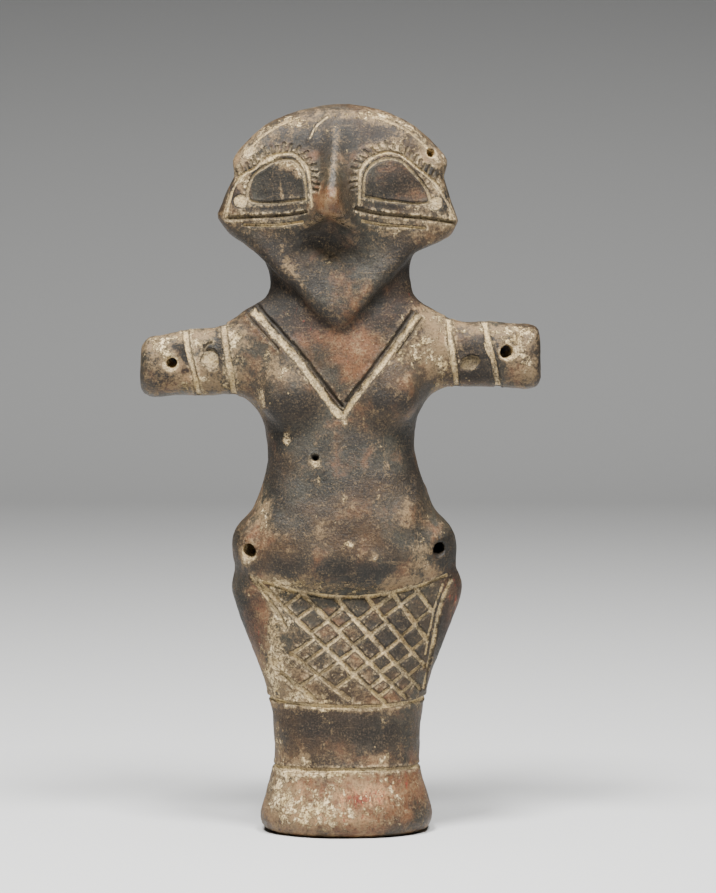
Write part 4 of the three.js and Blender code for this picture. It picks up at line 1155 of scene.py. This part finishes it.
class FigurineColours(bpy.types.PropertyGroup):
    """The clay's colours"""

    brown: colour_property("Brown", "Main colour of the burnished clay", (0.053, 0.03, 0.0138))
    grey: colour_property("Grey", "Clay that fired grey", (0.038, 0.0345, 0.0245))
    red: colour_property("Red", "Clay that fired red", (0.15, 0.062, 0.024))
    # The soot colour darkens the sooty patches and the pits. As painted shade and dirt, it also
    # darkens the corners of the cuts and the cuts and spots that hold little paste.
    soot_and_shade: colour_property("Soot", "Darkest clay, in patches and corners", (0.009, 0.0072, 0.0055))
    worn: colour_property("Worn", "Paler clay where the burnish has worn", (0.26, 0.175, 0.088))
    stain: colour_property("Stain", "Creamy red left where crust has come off", (0.56, 0.29, 0.125))
    pigment: colour_property("Pigment", "Traces of red pigment", (0.18, 0.025, 0.014))
    paste: colour_property("Paste", "Pale paste in the incised lines", (0.82, 0.65, 0.38))
    crust: colour_property("Crust", "Crust left by the soil", (0.53, 0.39, 0.185))


class FigurineStage(bpy.types.PropertyGroup):
    """The floor, the sweep behind and the lights"""

    floor: colour_property("Floor", "Colour of the floor", (0.58, 0.58, 0.57))
    wall: colour_property("Wall", "Colour of the sweep behind, higher up", (0.09, 0.09, 0.092))
    light: bpy.props.FloatProperty(
        name="Light", description="Strength of the soft lights together", default=1.0, min=0
    )


class FIGURINE_OT_clay(bpy.types.Operator):
    """Makes the carved clay figurine in place of the plain solid"""

    bl_idname = "figurine.clay"
    bl_label = "Clay"

    def execute(self, context):
        scene = context.scene
        points, faces, marks = figurine_mesh(scene.figurine_sizes)
        made = mesh_object("carved_clay", points, faces, marks)
        made.data.materials.append(burnished_clay(scene.figurine_colours))
        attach(made, "root")
        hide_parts("clay_figurine")
        return {"FINISHED"}


class FIGURINE_OT_stage(bpy.types.Operator):
    """Lays the floor and the sweep, hangs the soft lights and sets the camera"""

    bl_idname = "figurine.stage"
    bl_label = "Stage"

    def execute(self, context):
        stage = context.scene.figurine_stage
        angle = np.linspace(0, math.pi / 2, 24)
        curve_y, curve_z = SWEEP_BEND * np.sin(angle), SWEEP_BEND - SWEEP_BEND * np.cos(angle)
        y = np.concatenate([[SWEEP_FRONT], SWEEP_FOOT + curve_y, [SWEEP_FOOT + SWEEP_BEND]])
        z = np.concatenate([[0], curve_z, [SWEEP_TOP]])
        x = np.linspace(-SWEEP_HALF, SWEEP_HALF, 3)
        points = np.stack([np.repeat(x, len(y)), np.tile(y, len(x)), np.tile(z, len(x))], 1)
        row = np.arange(len(y) - 1)
        corner = (np.arange(len(x) - 1)[:, None] * len(y) + row).ravel()
        a, b, c, d = corner, corner + len(y), corner + len(y) + 1, corner + 1
        faces = np.concatenate([np.stack([a, b, c], 1), np.stack([a, c, d], 1)])
        floor = mesh_object("sweep", points, faces, {})
        floor.data.materials.append(graded_finish("pale_floor", stage.floor, stage.wall))

        for name, place, size, power in LAMPS:
            lamp = bpy.data.lights.new(name, "AREA")
            lamp.shape = "SQUARE"
            lamp.size = size * MM
            lamp.energy = power * stage.light
            made = bpy.data.objects.new(name, lamp)
            context.scene.collection.objects.link(made)
            aim(made, np.array(place, float), np.array(LAMP_TARGET))

        world = bpy.data.worlds.new("pale_room")
        world.use_nodes = True
        glow = world.node_tree.nodes["Background"].inputs
        glow["Color"].default_value = ROOM_COLOUR
        glow["Strength"].default_value = ROOM_GLOW
        context.scene.world = world

        lens = bpy.data.cameras.new("viewpoint")
        lens.lens = FOCAL_LENGTH
        lens.sensor_width = SENSOR_WIDTH
        camera = bpy.data.objects.new("viewpoint", lens)
        context.scene.collection.objects.link(camera)
        tilt = math.radians(CAMERA_TILT)
        target = np.array(CAMERA_TARGET)
        away = np.array([0, -math.cos(tilt), math.sin(tilt)])
        aim(camera, target + CAMERA_DISTANCE * away, target)
        context.scene.camera = camera
        return {"FINISHED"}


def aim(thing, place, target):
    """Puts a lamp or the camera at a place, looking at a target, both in millimetres."""
    thing.location = Vector(place * MM)
    thing.rotation_euler = Vector(target - place).to_track_quat("-Z", "Y").to_euler()


class FIGURINE_PT_panel(bpy.types.Panel):
    """Lists the properties and the operators in the sidebar"""

    bl_label = "Clay figurine"
    bl_space_type = "VIEW_3D"
    bl_region_type = "UI"
    bl_category = "Figurine"

    def draw(self, context):
        scene = context.scene
        for group in (scene.figurine_sizes, scene.figurine_colours, scene.figurine_stage):
            for name in group.__annotations__:
                self.layout.prop(group, name)
        self.layout.operator(FIGURINE_OT_clay.bl_idname)
        self.layout.operator(FIGURINE_OT_stage.bl_idname)


CLASSES = (
    FigurineSizes,
    FigurineColours,
    FigurineStage,
    FIGURINE_OT_clay,
    FIGURINE_OT_stage,
    FIGURINE_PT_panel,
)


def register():
    """Registers the classes and hangs the property groups on the scene."""
    for made in CLASSES:
        bpy.utils.register_class(made)
    bpy.types.Scene.figurine_sizes = bpy.props.PointerProperty(type=FigurineSizes)
    bpy.types.Scene.figurine_colours = bpy.props.PointerProperty(type=FigurineColours)
    bpy.types.Scene.figurine_stage = bpy.props.PointerProperty(type=FigurineStage)


def unregister():
    """Undoes register."""
    del bpy.types.Scene.figurine_stage
    del bpy.types.Scene.figurine_colours
    del bpy.types.Scene.figurine_sizes
    for made in reversed(CLASSES):
        bpy.utils.unregister_class(made)


def main():
    register()
    bpy.ops.figurine.clay()
    bpy.ops.figurine.stage()


if __name__ == "__main__":
    main()
